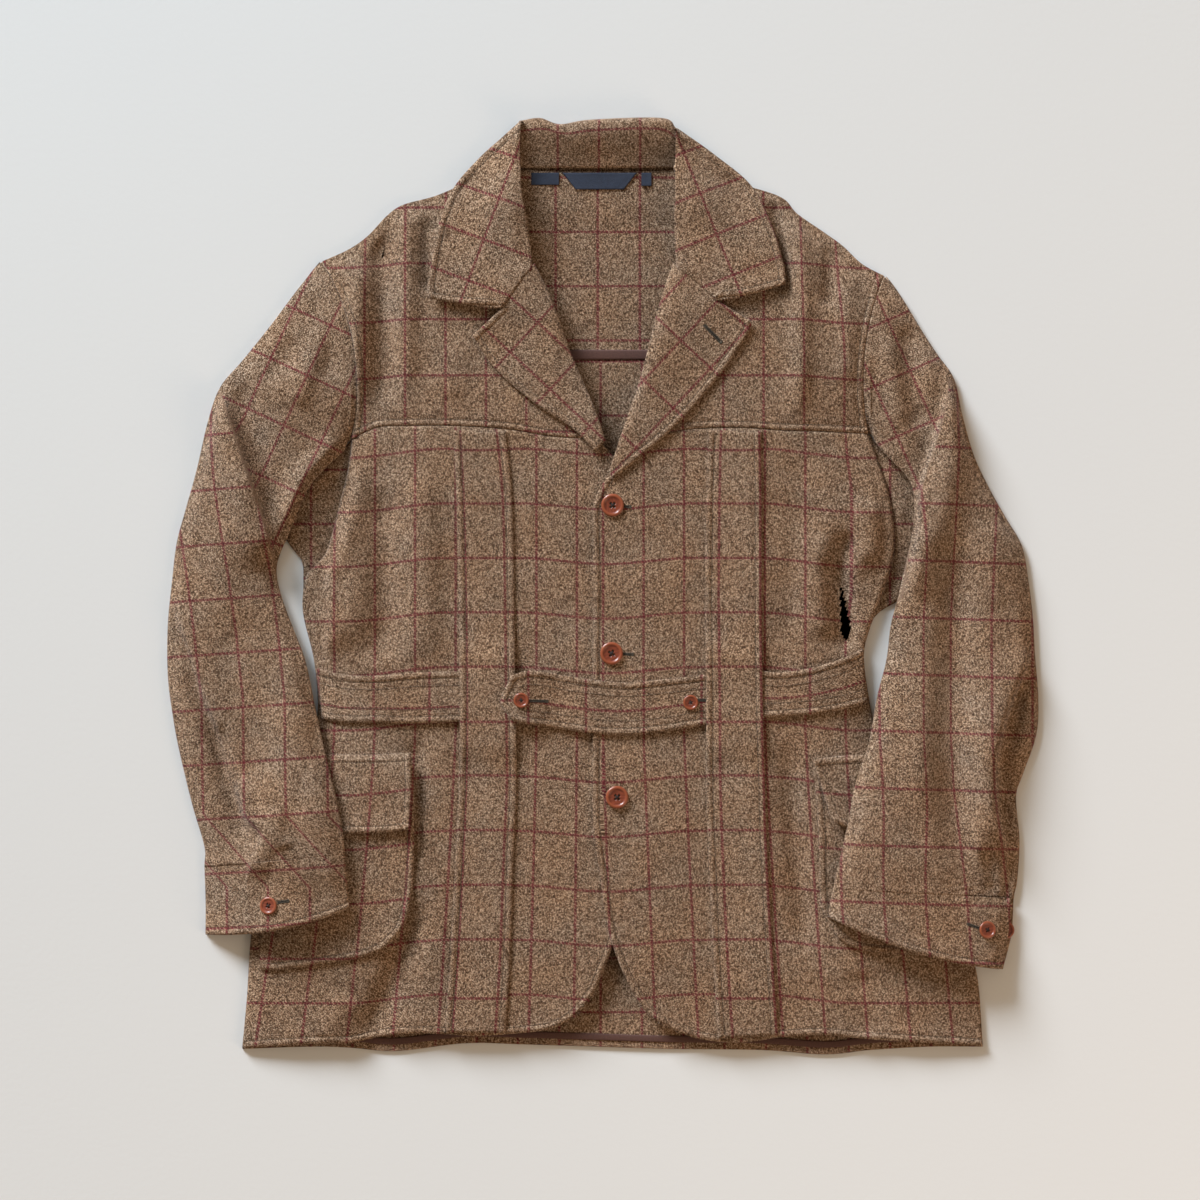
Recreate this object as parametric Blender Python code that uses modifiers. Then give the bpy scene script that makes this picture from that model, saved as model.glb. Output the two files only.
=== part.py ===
"""A norfolk jacket in tweed, laid flat on its back with the fronts buttoned.

Metres, +Z up. +Y runs from the hem to the collar, +X to the wearer's left.
Tables hold millimetres, as seen from straight above. The origin is the middle
of the jacket's box, on the surface that it lies on.
"""

import math

import bmesh
import bpy
import numpy as np
from mathutils import Matrix, Vector

MM = 0.001

# Driving sizes, in millimetres
CLOTH = 2.0  # tweed, one wall
SEAM = 0.4  # between pieces that are sewn edge to edge
LAID = 0.6  # under a piece that lies on another
LAYER = CLOTH + LAID  # how far a laid piece lifts what lies on it
EDGE = 2 * CLOTH + 0.6  # outer face of a front where it meets the back
ROUND = 75.0  # from the side edge to the flat of the front
TAPE = 0.6  # binding and labels
HIDDEN_SEAM = 2.4  # between the back and the lower side of a sleeve
ARMPIT_GAP = 1.6  # more between a sleeve and the body at the armpit
SLEEVE_LIP = 0.9  # between a sleeve's two sides along its edges
SLEEVE_AIR = 1.6  # under a sleeve that lies on the body
BELT_AIR = 0.4  # more air under the belt, which is stiffer than a pocket

# The wearer's right is at -X. Outlines run from the armpit to the hem.
SIDE_R = (
    (-226, 131), (-227, 118), (-230, 100), (-236, 76), (-242, 52), (-248, 32),
    (-256, 21), (-265, 12), (-269, -4), (-269, -26), (-259, -70), (-257, -122),
    (-272, -183), (-295, -246), (-314, -300), (-320, -372), (-324, -415),
)
SIDE_L = (
    (239, 137), (246, 118), (258, 82), (263, 43), (259, 14), (246, -22),
    (238, -45), (235, -64), (240, -102), (250, -147), (272, -201),
    (302, -255), (324, -305), (337, -350), (342, -413),
)
# The back shows past the fronts' side folds, under the arms.
BACK_SIDE_R = (
    (-226, 131), (-230, 117), (-240, 107), (-252, 98), (-265, 88), (-276, 74),
    (-283, 60), (-284, 47), (-279, 37), (-270, 27), (-269, 8), (-269, -26), (-259, -70),
    (-257, -122), (-272, -183), (-295, -246), (-314, -300), (-320, -372), (-324, -415),
)
BACK_SIDE_L = (
    (239, 137), (243, 123), (252, 111), (262, 101), (272, 91), (279, 80), (282, 66),
    (281, 47), (277, 28), (272, 8), (266, -10), (257, -17), (246, -24), (237, -50),
    (235, -66), (240, -102), (250, -147), (272, -201), (302, -255), (324, -305),
    (337, -350), (342, -413),
)
SHOULDER_R = (
    (-252, 292), (-228, 303), (-211, 315), (-194, 333), (-179, 343),
    (-150, 351), (-119, 364), (-85, 376),
)
SHOULDER_L = (
    (253, 279), (233, 290), (216, 306), (198, 319), (175, 335),
    (160, 350), (119, 363), (75, 376),
)
NECK_R = (
    (-85, 376), (-77, 343), (-75, 316), (-70, 292), (-57, 258),
    (-41, 213), (-24, 172), (-5, 133),
)
NECK_L = (
    (75, 376), (73, 343), (72, 307), (67, 280), (60, 250),
    (50, 214), (40, 178), (21, 133),
)
YOKE_SEAM_R = (
    (-226, 131), (-214, 138), (-200, 143), (-179, 144), (-135, 144),
    (-86, 141), (-50, 135), (-25, 133), (-5, 133),
)
YOKE_SEAM_L = (
    (239, 137), (200, 139), (160, 140), (131, 142), (95, 142), (63, 139), (21, 133),
)
EDGE_R = (
    (-5, 133), (13, 112), (25, 87), (27, 42), (27, -102), (27, -237),
    (21, -287), (10, -321), (2, -342), (-7, -363), (-19, -380),
)
EDGE_L = (
    (21, 133), (8, 105), (-3, 87), (-9, 70), (-9, 50), (-8, 1), (-9, -60),
    (-9, -150), (-9, -202), (-7, -227), (-2, -261), (3, -299), (10, -325),
    (21, -352), (36, -378), (49, -390),
)
HEM_R = (
    (-324, -415), (-261, -411), (-226, -410), (-202, -405), (-179, -402),
    (-146, -402), (-113, -404), (-71, -401), (-49, -398), (-32, -391), (-19, -380),
)
HEM_L = (
    (342, -413), (311, -411), (241, -407), (200, -403), (160, -405),
    (142, -408), (118, -410), (89, -407), (68, -400), (49, -390),
)
BACK_HEM = (
    (-324, -416), (-261, -414), (-226, -415), (-185, -418), (-124, -411),
    (-71, -412), (-7, -414), (57, -416), (142, -417), (200, -421),
    (241, -417), (295, -414), (342, -414),
)
BACK_SEAM_Y = 207.0
BACK_NECK = ((-85, 376), (-60, 374), (0, 373.5), (52, 374), (75, 376))

# Sleeve sections from the armhole to the cuff's edge:
# outer x and y, inner x and y, bow towards the body, puff over the lower side
SLEEVE_R = (
    (-252, 292, -226, 131, 16, 8),
    (-272, 270, -233, 121, 12, 9),
    (-299, 234, -241, 114, 7, 11),
    (-324, 203, -251, 104, 4, 13),
    (-344, 179, -262, 91, 0, 14),
    (-355, 148, -272, 71, 0, 14),
    (-365, 105, -281, 48, 0, 15),
    (-375, 69, -289, 31, 0, 15),
    (-383, 39, -293, 15, 0, 15),
    (-387, 6, -290, -4, 0, 15),
    (-391, -35, -279, -35, 0, 15),
    (-391, -79, -267, -66, 0, 14),
    (-387, -113, -258, -108, 0, 14),
    (-381, -146, -249, -148, 0, 13),
    (-369, -196, -238, -192, 0, 13),
    (-358, -234, -232, -226, 0, 12),
    (-358, -252, -231, -240, 0, 11),
    (-357, -283, -229, -265, 0, 10),
    (-357, -313, -227, -289, -7, 9),
)
SLEEVE_L = (
    (253, 279, 239, 137, -10, 8),
    (269, 260, 244.5, 130, -8, 9),
    (286, 232, 252, 121, -5, 11),
    (301, 209, 262, 110.5, -3, 13),
    (316, 187, 273, 99, 0, 14),
    (324, 153, 279, 86, 0, 14),
    (334, 118, 280, 68, 0, 15),
    (347, 90, 278, 47, 0, 15),
    (362, 63, 274, 28, 0, 15),
    (377, 37, 270, 10, 0, 15),
    (383, 6, 265, -11, 0, 15),
    (387, -28, 259, -35, 0, 15),
    (389, -61, 255, -66, 0, 14),
    (392, -102, 246, -101, 0, 14),
    (390, -134, 239, -140, 0, 14),
    (378, -169, 227, -176, 0, 13),
    (372, -189, 221, -206, 0, 13),
    (375, -228, 214, -239, 0, 12),
    (373, -264, 209, -259, 0, 11),
    (370, -280, 207, -271, 0, 11),
    (368, -312, 204, -284, 6, 10),
    (360, -344, 202, -296, 8, 9),
)
CUFF_GAP = 0.0012  # between a sleeve and its cuff, as a part of the sleeve's length
CUFF_TAB_DROP = -0.4  # the right cuff's other end, below the sleeve's own height
CUFF_LAP = 2.6  # how far the right cuff's button end stands over its other end
PLACKET = 0.30  # where the right cuff's button end stops, across the sleeve
CUFF_ROWS = 2  # rows of a sleeve's table after its cuff seam

ROLL_R = ((-61, 290), (-45, 257), (-28, 209), (-9, 165), (3, 131))
ROLL_L = ((63, 290), (50, 250), (41, 214), (31, 178), (18, 140), (6, 104))
GORGE_R = ((-117, 225), (-90, 251), (-61, 290))
GORGE_L = ((134, 238), (103, 257), (63, 290))
LAPEL_EDGE_R = ((-117, 225), (-98, 197), (-62, 165), (-26, 141), (-7, 121))
LAPEL_EDGE_L = (
    (134, 238), (130, 226), (107, 192), (71, 149), (35, 117), (9, 96),
)
LEAF_EDGE_R = (
    (-73, 419), (-92, 402), (-111, 385), (-134, 358), (-147, 325),
    (-156, 275), (-156, 258),
)
LEAF_EDGE_L = (
    (67, 412), (101, 388), (134, 360), (153, 322), (163, 287), (164, 271),
)
LEAF_FOOT_R = ((-156, 258), (-123, 253), (-93, 251.5))
LEAF_FOOT_L = ((164, 271), (133, 262), (104.5, 258.5))
LEAF_ROLL_R = (
    (-93, 251.5), (-78, 274), (-63.5, 293), (-67, 325), (-72, 352),
    (-73.5, 377), (-74, 398), (-72.6, 417),
)
LEAF_ROLL_L = (
    (104.5, 258.5), (85, 275), (65.5, 293), (64.5, 325), (65, 352),
    (65, 377), (65.5, 395), (66, 410),
)

PLEAT_OUTER_R = (
    (-134, 140), (-131, 78), (-129, -12), (-128, -102), (-129, -174),
    (-132, -246), (-137, -336), (-142, -401),
)
PLEAT_INNER_R = (
    (-87, 140), (-81, 78), (-79, -12), (-78, -102), (-77, -174),
    (-80, -246), (-83, -336), (-87, -401),
)
PLEAT_INNER_L = (
    (95, 140), (93, 78), (92, -12), (93, -102), (93, -174),
    (95, -237), (99, -327), (104, -406.5),
)
PLEAT_OUTER_L = (
    (142, 140), (143, 78), (143, -12), (144, -102), (146, -174),
    (148, -237), (153, -327), (158, -403),
)

BELT_R_TOP = ((-258, -73), (-232, -79), (-202, -80), (-164, -77), (-112, -76))
BELT_R_FOOT = ((-252, -119), (-232, -122), (-202, -122), (-173, -123), (-112, -121))
BELT_TOP = (
    (-82, -80), (-70, -76), (-55, -76), (-28, -81), (4, -85), (25, -86),
    (57, -83), (100, -78), (118, -77),
)
BELT_FOOT = (
    (-82, -120), (-72, -123), (-49, -126), (-7, -132), (25, -133),
    (57, -130), (100, -123), (118, -121),
)
BELT_TIP = ((-82, -80), (-91, -99), (-91, -106), (-82, -120))
BELT_L_TOP = ((118.6, -76), (136, -75), (160, -77), (187, -73), (214, -65), (234, -56))
BELT_L_FOOT = (
    (118.6, -120), (136, -118), (160, -117), (187, -115), (214, -111), (238, -105),
)

POCKET_TOP_R = ((-258, -160), (-212, -160), (-170, -160))
POCKET_FOOT_R = ((-308, -344), (-290, -344), (-246, -338), (-217, -333), (-196, -325))
POCKET_SIDE_R = (
    (-170, -160), (-169, -192), (-169, -237), (-171, -273), (-179, -305), (-196, -325),
)
POCKET_BACK_R = ((-258, -160), (-265, -188), (-287, -245), (-306, -300), (-308, -344))
POCKET_TOP_L = ((189, -162), (215, -162), (247, -162))
POCKET_FOOT_L = ((211, -315), (228, -325), (268, -330), (300, -331), (322, -332))
POCKET_SIDE_L = ((189, -162), (192, -190), (194, -228), (195, -269), (198, -292), (211, -315))
POCKET_BACK_L = ((247, -162), (266, -205), (296, -258), (317, -306), (322, -332))
FLAP_TOP_R = ((-254, -150), (-212, -151), (-172, -149))
FLAP_FOOT_R = ((-272, -217), (-235, -221), (-202, -221), (-173, -218))
FLAP_SIDE_R = ((-172, -149), (-171, -182), (-173, -218))
FLAP_BACK_R = ((-254, -150), (-261, -180), (-272, -217))
FLAP_TOP_L = ((188, -155), (215, -152), (244, -151))
FLAP_FOOT_L = ((209, -212), (222, -217), (245, -217), (270, -213))
FLAP_SIDE_L = ((188, -155), (197, -182), (204, -205), (209, -212))
FLAP_BACK_L = ((244, -151), (256, -182), (270, -213))

# Named places of the buttons: x, y, radius, and the piece that each lies on
FRONT_BUTTON, BELT_BUTTON, CUFF_BUTTON = 10.2, 6.8, 7.9
BUTTONS = (
    ("button_front_top", 9, 73, FRONT_BUTTON, "front"),
    ("button_front_middle", 8, -60, FRONT_BUTTON, "front"),
    ("button_front_low", 13, -189, FRONT_BUTTON, "front"),
    ("button_belt_r", -73, -102, BELT_BUTTON, "belt"),
    ("button_belt_l", 79, -104, BELT_BUTTON, "belt"),
    ("button_cuff_r", -299, -286, CUFF_BUTTON, "cuff_r"),
    ("button_cuff_l", 345, -308, CUFF_BUTTON, "cuff_l"),
    ("button_cuff_l_inner", 362.5, -309, CUFF_BUTTON, "cuff_back_l"),
)
# Outer faces of the labels: left, right and foot
LABEL_TOP = 372.0
LABELS = (
    ("label_care", -64, -39, 361),
    ("label_main", -36, 31, 357),
    ("label_size", 35, 44, 360),
)
BUTTON_SHAPE = (  # out from the middle and up, as parts of the radius
    (0.0, 0.186), (0.66, 0.186), (0.86, 0.30), (1.0, 0.18), (0.88, 0.0), (0.0, 0.0),
)
BUTTON_HOLE = 0.10  # radius of each of a button's four holes, as a part of its radius
BUTTON_HOLE_OUT = 0.21  # from the button's middle, as a part of its radius
LABEL_TAPER = 12.0  # how far each end of the main label slopes in

# Height of the front's flat above the floor, by distance up the body
FLAT_Y = (-420, -330, -200, -60, 60, 150, 250, 330, 380)
FLAT_Z = (9.5, 13.5, 15.5, 16.0, 16.0, 16.5, 17.0, 15.5, 12.0)

# Broad folds in the fronts: from x, y to x, y, half width, height
BODY_FOLDS = (
    (-222, 100, -252, 20, 15, 2.4),
    (-200, 122, -198, 55, 15, -2.0),
    (-180, 90, -178, -60, 16, 1.6),
    (-190, 330, -186, 175, 14, -2.4),
    (-216, 284, -212, 170, 14, 1.6),
    (238, 78, 226, 12, 14, 2.2),
    (205, 20, 208, -50, 14, -2.0),
    (178, 110, 180, -50, 14, 1.6),
    (196, 300, 194, 190, 15, 2.0),
    (-236, -360, -240, -410, 14, -1.4),
    (236, -366, 240, -408, 14, 1.4),
)
# Folds in the sleeves' upper sides
SLEEVE_FOLDS = (
    (-352, 168, -306, 28, 15, 5.0),
    (-326, 176, -280, 62, 13, -4.0),
    (-270, 236, -296, 172, 13, 2.4),
    (-378, -6, -338, -168, 11, -3.2),
    (-322, -60, -300, -205, 16, 2.6),
    (-338, -168, -318, -232, 10, -2.6),
    (328, 176, 300, 36, 14, 5.0),
    (302, 178, 283, 92, 12, -4.0),
    (276, 222, 296, 160, 13, 2.0),
    (376, -70, 362, -222, 11, -3.2),
    (296, -40, 308, -240, 12, -2.6),
    (338, -30, 344, -230, 16, 2.8),
)

NECK_LIFT = 3.0  # the collar's fall lies under the neck
COLLAR_FOLD = ((-70, 418), (-55, 420.5), (-38, 415), (-10, 419), (52, 420.5), (62, 411))
COLLAR_FOOT = ((-70.5, 375.2), (62, 375.2))
COLLAR_SAG = 0.22  # how much lower the stand is at its ends
# From the neck seam over the fold: part of the way to the fold, outer face's height
COLLAR_WAY = (
    (0.02, 7.8), (0.25, 11.0), (0.5, 15.5), (0.75, 19.0), (0.92, 19.2), (1.0, 15.0),
    (1.0, 7.0), (0.92, 1.6), (0.8, 0.0), (0.3, 0.0), (-0.4, 0.0),
)

YOKE_TAPE = ((-205, 208.5), (220, 208.5))
YOKE_TAPE_HALF = 4.5
HEM_TAPE_ENDS = (-316, 334)
HEM_TAPE_UP = 9.0  # from the back's hem to the middle of its tape
HEM_TAPE_HALF = 3.0
TAPE_AIR = 0.3  # under the tapes

# Base colours
TWEED = (0.216, 0.150, 0.085)
RUSSET = (0.40, 0.085, 0.030)
NAVY = (0.012, 0.022, 0.060)
RUST_TAPE = (0.20, 0.070, 0.045)


def smooth(t):
    t = np.clip(t, 0.0, 1.0)
    return t * t * (3 - 2 * t)


def along(points, count, even=True):
    """count places on a smooth curve through the points, (n, dimensions)."""
    p = np.array(points, float)
    if len(p) == 2:
        steps = np.linspace(0, 1, count)[:, None]
        return p[0] * (1 - steps) + p[1] * steps
    ends = np.vstack([2 * p[0] - p[1], p, 2 * p[-1] - p[-2]])
    fine = []
    for a, b, c, d in zip(ends, ends[1:], ends[2:], ends[3:]):
        t = np.linspace(0, 1, 16, endpoint=False)[:, None]
        fine.append(
            b + 0.5 * t * (c - a + t * (2 * a - 5 * b + 4 * c - d + t * (3 * (b - c) + d - a)))
        )
    fine = np.vstack(fine + [p[-1:]])
    length = np.arange(len(fine), dtype=float) / (len(fine) - 1)
    if even:
        steps = np.linalg.norm(np.diff(fine, axis=0), axis=1)
        length = np.concatenate([[0], np.cumsum(steps)])
        length /= length[-1]
    at = np.linspace(0, 1, count)
    return np.stack([np.interp(at, length, column) for column in fine.T], 1)


def distance(points, x, y):
    """From each place to the nearest point of a curve."""
    fine = along(points, 240)
    apart = np.hypot(x[..., None] - fine[:, 0], y[..., None] - fine[:, 1])
    return apart.min(-1)


def side_x(points, y):
    """x of a side seam at each y."""
    fine = along(points, 240)[::-1]
    return np.interp(y, fine[:, 1], fine[:, 0])


def folds(table, x, y):
    """Soft ridges and troughs that fade at both ends."""
    height = np.zeros_like(x)
    for x0, y0, x1, y1, width, tall in table:
        run = np.array([x1 - x0, y1 - y0], float)
        length = np.hypot(*run)
        run /= length
        t = ((x - x0) * run[0] + (y - y0) * run[1]) / length
        off = (x - x0) * run[1] - (y - y0) * run[0]
        fade = smooth(t / 0.25 + 0.5) * smooth((1 - t) / 0.25 + 0.5)
        height += tall * np.exp(-((off / width) ** 2)) * fade
    return height


def neck_lift(x, y):
    return NECK_LIFT * smooth((122 - abs(x)) / 32) * smooth((y - 318) / 26)


def back_inside(x, y):
    return np.full_like(x, CLOTH)


def yoke_inside(x, y):
    """Inner face of the back yoke, over the collar's fall."""
    return CLOTH + 0.85 * neck_lift(x, y)


def inside(x, y):
    """Distance inside the body's side and shoulder edges; outside is negative."""
    near = np.minimum.reduce(
        [distance(c, x, y) for c in (SIDE_R, SIDE_L, SHOULDER_R, SHOULDER_L)]
    )
    right = side_x(SIDE_R, y)
    left = side_x(SIDE_L, y)
    out = (y < 131) & ((x < right) | (x > left))
    shoulder = along(SHOULDER_R, 60)
    other = along(SHOULDER_L, 60)[::-1]
    top_r = np.interp(x, shoulder[:, 0], shoulder[:, 1])
    top_l = np.interp(x, other[:, 0], other[:, 1])
    top = np.where(x < 0, top_r, top_l)
    out |= (y > top) & (y > 270)
    return np.where(out, -near, near)


def body(x, y):
    """Outer face of the fronts and yokes."""
    d = np.clip(inside(x, y), 0, None)
    flat = np.interp(y, FLAT_Y, FLAT_Z)
    lip = 1.5 * smooth(d / 16)
    rise = (flat - EDGE - 1.5) * (1 - (1 - np.clip(d / ROUND, 0, 1)) ** 2.1)
    crease = folds(BODY_FOLDS, x, y) * smooth((d - 4) / 22)
    return EDGE + lip + rise + crease + neck_lift(x, y)


def lap(x, y):
    """How far the left front stands above the right one that it laps over."""
    return (LAYER + 0.3) * smooth((102 - x) / 68) * smooth((190 - y) / 52)


def left_front(x, y):
    return body(x, y) + lap(x, y)


def over_fronts(x, y):
    """On the right front at -X, and on the left front with its lap at +X."""
    return body(x, y) + lap(x, y) * (x > 0)


def fronts(x, y):
    """Over both fronts, ramped up to the left one's edge."""
    return body(x, y) + lap(x, y) * smooth((x + 42) / 28)


def belt_band(y, edge=6, ramp=24):
    """1 across the belt, fading above and below it."""
    return smooth((-70 + edge + ramp - y) / ramp) * smooth((y + 135 + edge + ramp) / ramp)


def pleat(x, y):
    return over_fronts(x, y) + LAYER + (LAYER + BELT_AIR) * belt_band(y)


def belt_side(x, y):
    return body(x, y) + LAYER + BELT_AIR


def belt(x, y):
    """Over the right pleat at its tip and over the fronts, then under the left pleat."""
    over = LAYER * 2.0 * smooth((-40 - x) / 34)
    return fronts(x, y) + LAYER + BELT_AIR + over


def pocket(x, y):
    return body(x, y) + LAYER


def flap(x, y):
    """Over the pocket, and down to the front along its sewn top."""
    return body(x, y) + LAYER * (1 + smooth((-149.5 - y) / 7))


def lapel_roll(u):
    """Roll of a lapel across its width: 0 at its edge, 1 at its fold."""
    return 5.5 * smooth(u / 0.9) * (1 - smooth((u - 0.86) / 0.2))


def sheet(name, points, colour, wall=CLOTH, roughness=0.9):
    """A wall under a grid of points, (rows, columns, 3) in millimetres."""
    rows, columns = points.shape[:2]
    mesh = bpy.data.meshes.new(name)
    bm = bmesh.new()
    bmesh.ops.create_grid(bm, x_segments=columns - 1, y_segments=rows - 1, size=0.5)
    for vertex in bm.verts:
        column = round((vertex.co.x + 0.5) * (columns - 1))
        row = round((vertex.co.y + 0.5) * (rows - 1))
        vertex.co = points[row, column] * MM
    middle = columns // 2
    across = points[0, middle] - points[0, middle - 1]
    up = points[1, middle] - points[0, middle]
    if across[0] * up[1] - across[1] * up[0] < 0:
        bmesh.ops.reverse_faces(bm, faces=bm.faces[:])
    bm.to_mesh(mesh)
    bm.free()
    mesh.shade_smooth()
    piece = add_object(name, mesh, colour, roughness)
    solidify = piece.modifiers.new("wall", "SOLIDIFY")
    solidify.thickness = wall * MM
    solidify.offset = -1
    return piece


def add_object(name, mesh, colour, roughness):
    piece = bpy.data.objects.new(name, mesh)
    JACKET.objects.link(piece)
    material = bpy.data.materials.new(name)
    material.use_nodes = True
    shader = material.node_tree.nodes["Principled BSDF"]
    shader.inputs["Base Color"].default_value = (*colour, 1)
    shader.inputs["Roughness"].default_value = roughness
    mesh.materials.append(material)
    return piece


def spaced(count, crowd):
    """0 to 1 in count places, crowded to both ends by crowd (0 to 1)."""
    t = np.linspace(0, 1, count)
    return (1 - crowd) * t + crowd * 0.5 * (1 - np.cos(math.pi * t))


def patch(left, right, foot, top, rows, columns, crowd=0.5):
    """A grid between four edges. left and right run up, foot and top run right."""
    u = spaced(columns, crowd)
    v = spaced(rows, crowd)
    west, east = (at_steps(edge, v)[:, None] for edge in (left, right))
    south, north = (at_steps(edge, u)[None] for edge in (foot, top))
    u, v = u[None, :, None], v[:, None, None]
    corners = (
        (1 - u) * (1 - v) * west[:1] + u * (1 - v) * east[:1]
        + (1 - u) * v * west[-1:] + u * v * east[-1:]
    )
    return (1 - u) * west + u * east + (1 - v) * south + v * north - corners


def upward(points):
    """A table that runs down, or a seam that runs out, the other way round."""
    return points[::-1]


def at_steps(points, steps):
    fine = along(points, 400)
    at = np.linspace(0, 1, 400)
    return np.stack([np.interp(steps, at, fine[:, k]) for k in (0, 1)], 1)


def raised(plan, height):
    """The plan's points with the height of a function of x and y."""
    x, y = plan[..., 0], plan[..., 1]
    return np.concatenate([plan, height(x, y)[..., None]], -1)


def section(table, u, v):
    """Places on a sleeve seen from above: u from outer to inner edge, v down it."""
    rows = np.array(table, float)
    fine = along(rows, 300, even=False)
    at = np.linspace(0, 1, 300)
    row = np.stack([np.interp(v, at, column) for column in fine.T], -1)
    ox, oy, ix, iy, bow, puff = np.moveaxis(row, -1, 0)
    run = np.stack([ix - ox, iy - oy], -1)
    width = np.linalg.norm(run, axis=-1)
    across = np.stack([-run[..., 1], run[..., 0]], -1) / width[..., None]
    bend = (bow * 4 * u * (1 - u))[..., None]
    place = np.stack([ox, oy], -1) + u[..., None] * run + bend * across
    return place, width, puff


def seam_step(table):
    return (len(table) - 1 - CUFF_ROWS) / (len(table) - 1)


def armhole(table, count, start=0.0):
    """Armhole seam from the shoulder, or from part way down, to the armpit."""
    u = np.linspace(start, 1, count)
    return section(table, u, np.zeros(count))[0]


def side_ramp(table, x, y):
    """Distance inside the body's side seam, for a sleeve that lies over it."""
    curve = BACK_SIDE_R if table is SLEEVE_R else BACK_SIDE_L
    sign = -1 if table is SLEEVE_R else 1
    out = sign * (x - side_x(curve, np.clip(y, -420, 131)))
    return -np.sign(out) * distance(curve, x, y)


def carried(table, x, y):
    """Top of whatever lies under a sleeve: the floor, or the body and its trim."""
    s = side_ramp(table, x, y)
    on_body = body(x, y)
    one = smooth((-40 - y) / 34)
    two = smooth((-92 - y) / 32) * smooth((y + 282) / 36)
    trim = LAYER * (one + two)
    over = on_body + trim + SLEEVE_AIR
    beside = (EDGE + trim + SLEEVE_AIR) * smooth(1 + s / (30 + 6 * trim))
    return np.where(s > 0, over, beside)


def lower_sleeve(table, u, v):
    """Inner face of a sleeve's lower side, which rests on the floor or the body."""
    place = section(table, u, v)[0]
    away = smooth(v / 0.16)
    return place, CLOTH + away * carried(table, place[..., 0], place[..., 1])


def cuff_lap(table, u):
    """How far a cuff's button end stands over its other end."""
    if table is SLEEVE_R:
        return CUFF_LAP * (1 - smooth((u - PLACKET - 0.14) / 0.4))
    return 1.5 * CUFF_LAP * (1 - smooth((u - 0.05) / 0.35))


def upper_sleeve(table, u, v, extra=0.0):
    """Outer face of a sleeve's upper side."""
    place, width, puff = section(table, u, v)
    low = lower_sleeve(table, u, v)[1]
    at_seam = section(table, u, np.zeros_like(v))[0]
    seam = body(at_seam[..., 0], at_seam[..., 1])
    away = smooth(v / 0.22)
    d = np.minimum(u, 1 - u) * width
    dome = puff * (0.35 * smooth(d / 14) + 0.65 * (1 - (1 - np.clip(d / 62, 0, 1)) ** 2))
    crease = folds(SLEEVE_FOLDS, place[..., 0], place[..., 1]) * smooth((d - 3) / 16)
    own = low + CLOTH + SLEEVE_LIP + dome + crease * smooth((v - 0.03) / 0.1)
    return place, (1 - away) * (seam + low - CLOTH) + away * own + extra


def grid(first_u, last_u, first_v, last_v, rows, columns, crowd=0.5):
    u = first_u + (last_u - first_u) * spaced(columns, crowd)
    v = np.linspace(first_v, last_v, rows)
    return np.broadcast_to(u, (rows, columns)), np.broadcast_to(v[:, None], (rows, columns))


def sleeve_piece(name, table, side, rows, columns, first, last, steps=(0.0, 1.0), extra=None):
    """One wall of a sleeve or cuff between two steps down it."""
    u, v = grid(steps[0], steps[1], first, last, rows, columns)
    if side == "upper":
        shape = upper_sleeve(table, u, v, extra(table, u) if extra else 0.0)
    else:
        shape = lower_sleeve(table, u, v)
    place, height = shape
    away = -1 if table is SLEEVE_R else 1
    gap = (SEAM if side == "upper" else HIDDEN_SEAM) + ARMPIT_GAP * u**4
    place[..., 0] += away * gap * (1 - smooth(v / 0.06))
    points = np.concatenate([place, height[..., None]], -1)
    return sheet(name, points, TWEED)


def empty_scene():
    for item in list(bpy.data.objects):
        bpy.data.objects.remove(item)


def add_collection(name):
    group = bpy.data.collections.new(name)
    bpy.context.scene.collection.children.link(group)
    return group


def build_back():
    """Back and back yoke, flat on the surface, seamed across the shoulder blades."""
    u = np.linspace(0, 1, 200)
    splits = []
    for table in (SLEEVE_R, SLEEVE_L):
        hole = section(table, u, np.zeros(200))[0]
        splits.append(np.interp(BACK_SEAM_Y, hole[::-1, 1], u[::-1]))
    left = np.vstack([armhole(SLEEVE_R, 6, splits[0]), along(BACK_SIDE_R, 30)[1:]])[::-1]
    right = np.vstack([armhole(SLEEVE_L, 6, splits[1]), along(BACK_SIDE_L, 30)[1:]])[::-1]
    left[0] = BACK_HEM[0]
    right[0] = BACK_HEM[-1]
    low_r, low_l = left[-1], right[-1]
    low_r[1] = low_l[1] = BACK_SEAM_Y - SEAM
    plan = patch(left, right, BACK_HEM, (low_r, low_l), 14, 12, 0.2)
    sheet("back", raised(plan, back_inside), TWEED)
    left = armhole(SLEEVE_R, 12)
    right = armhole(SLEEVE_L, 12)
    left = left[left[:, 1] > BACK_SEAM_Y + 4][::-1]
    right = right[right[:, 1] > BACK_SEAM_Y + 4][::-1]
    left = np.vstack([[low_r[0], BACK_SEAM_Y], left])
    right = np.vstack([[low_l[0], BACK_SEAM_Y], right])
    top = np.vstack([SHOULDER_R, BACK_NECK[1:-1], SHOULDER_L[::-1]])
    plan = patch(left, right, (left[0], right[0]), top, 9, 17, 0.0)
    sheet("back_yoke", raised(plan, yoke_inside), TWEED)


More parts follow.
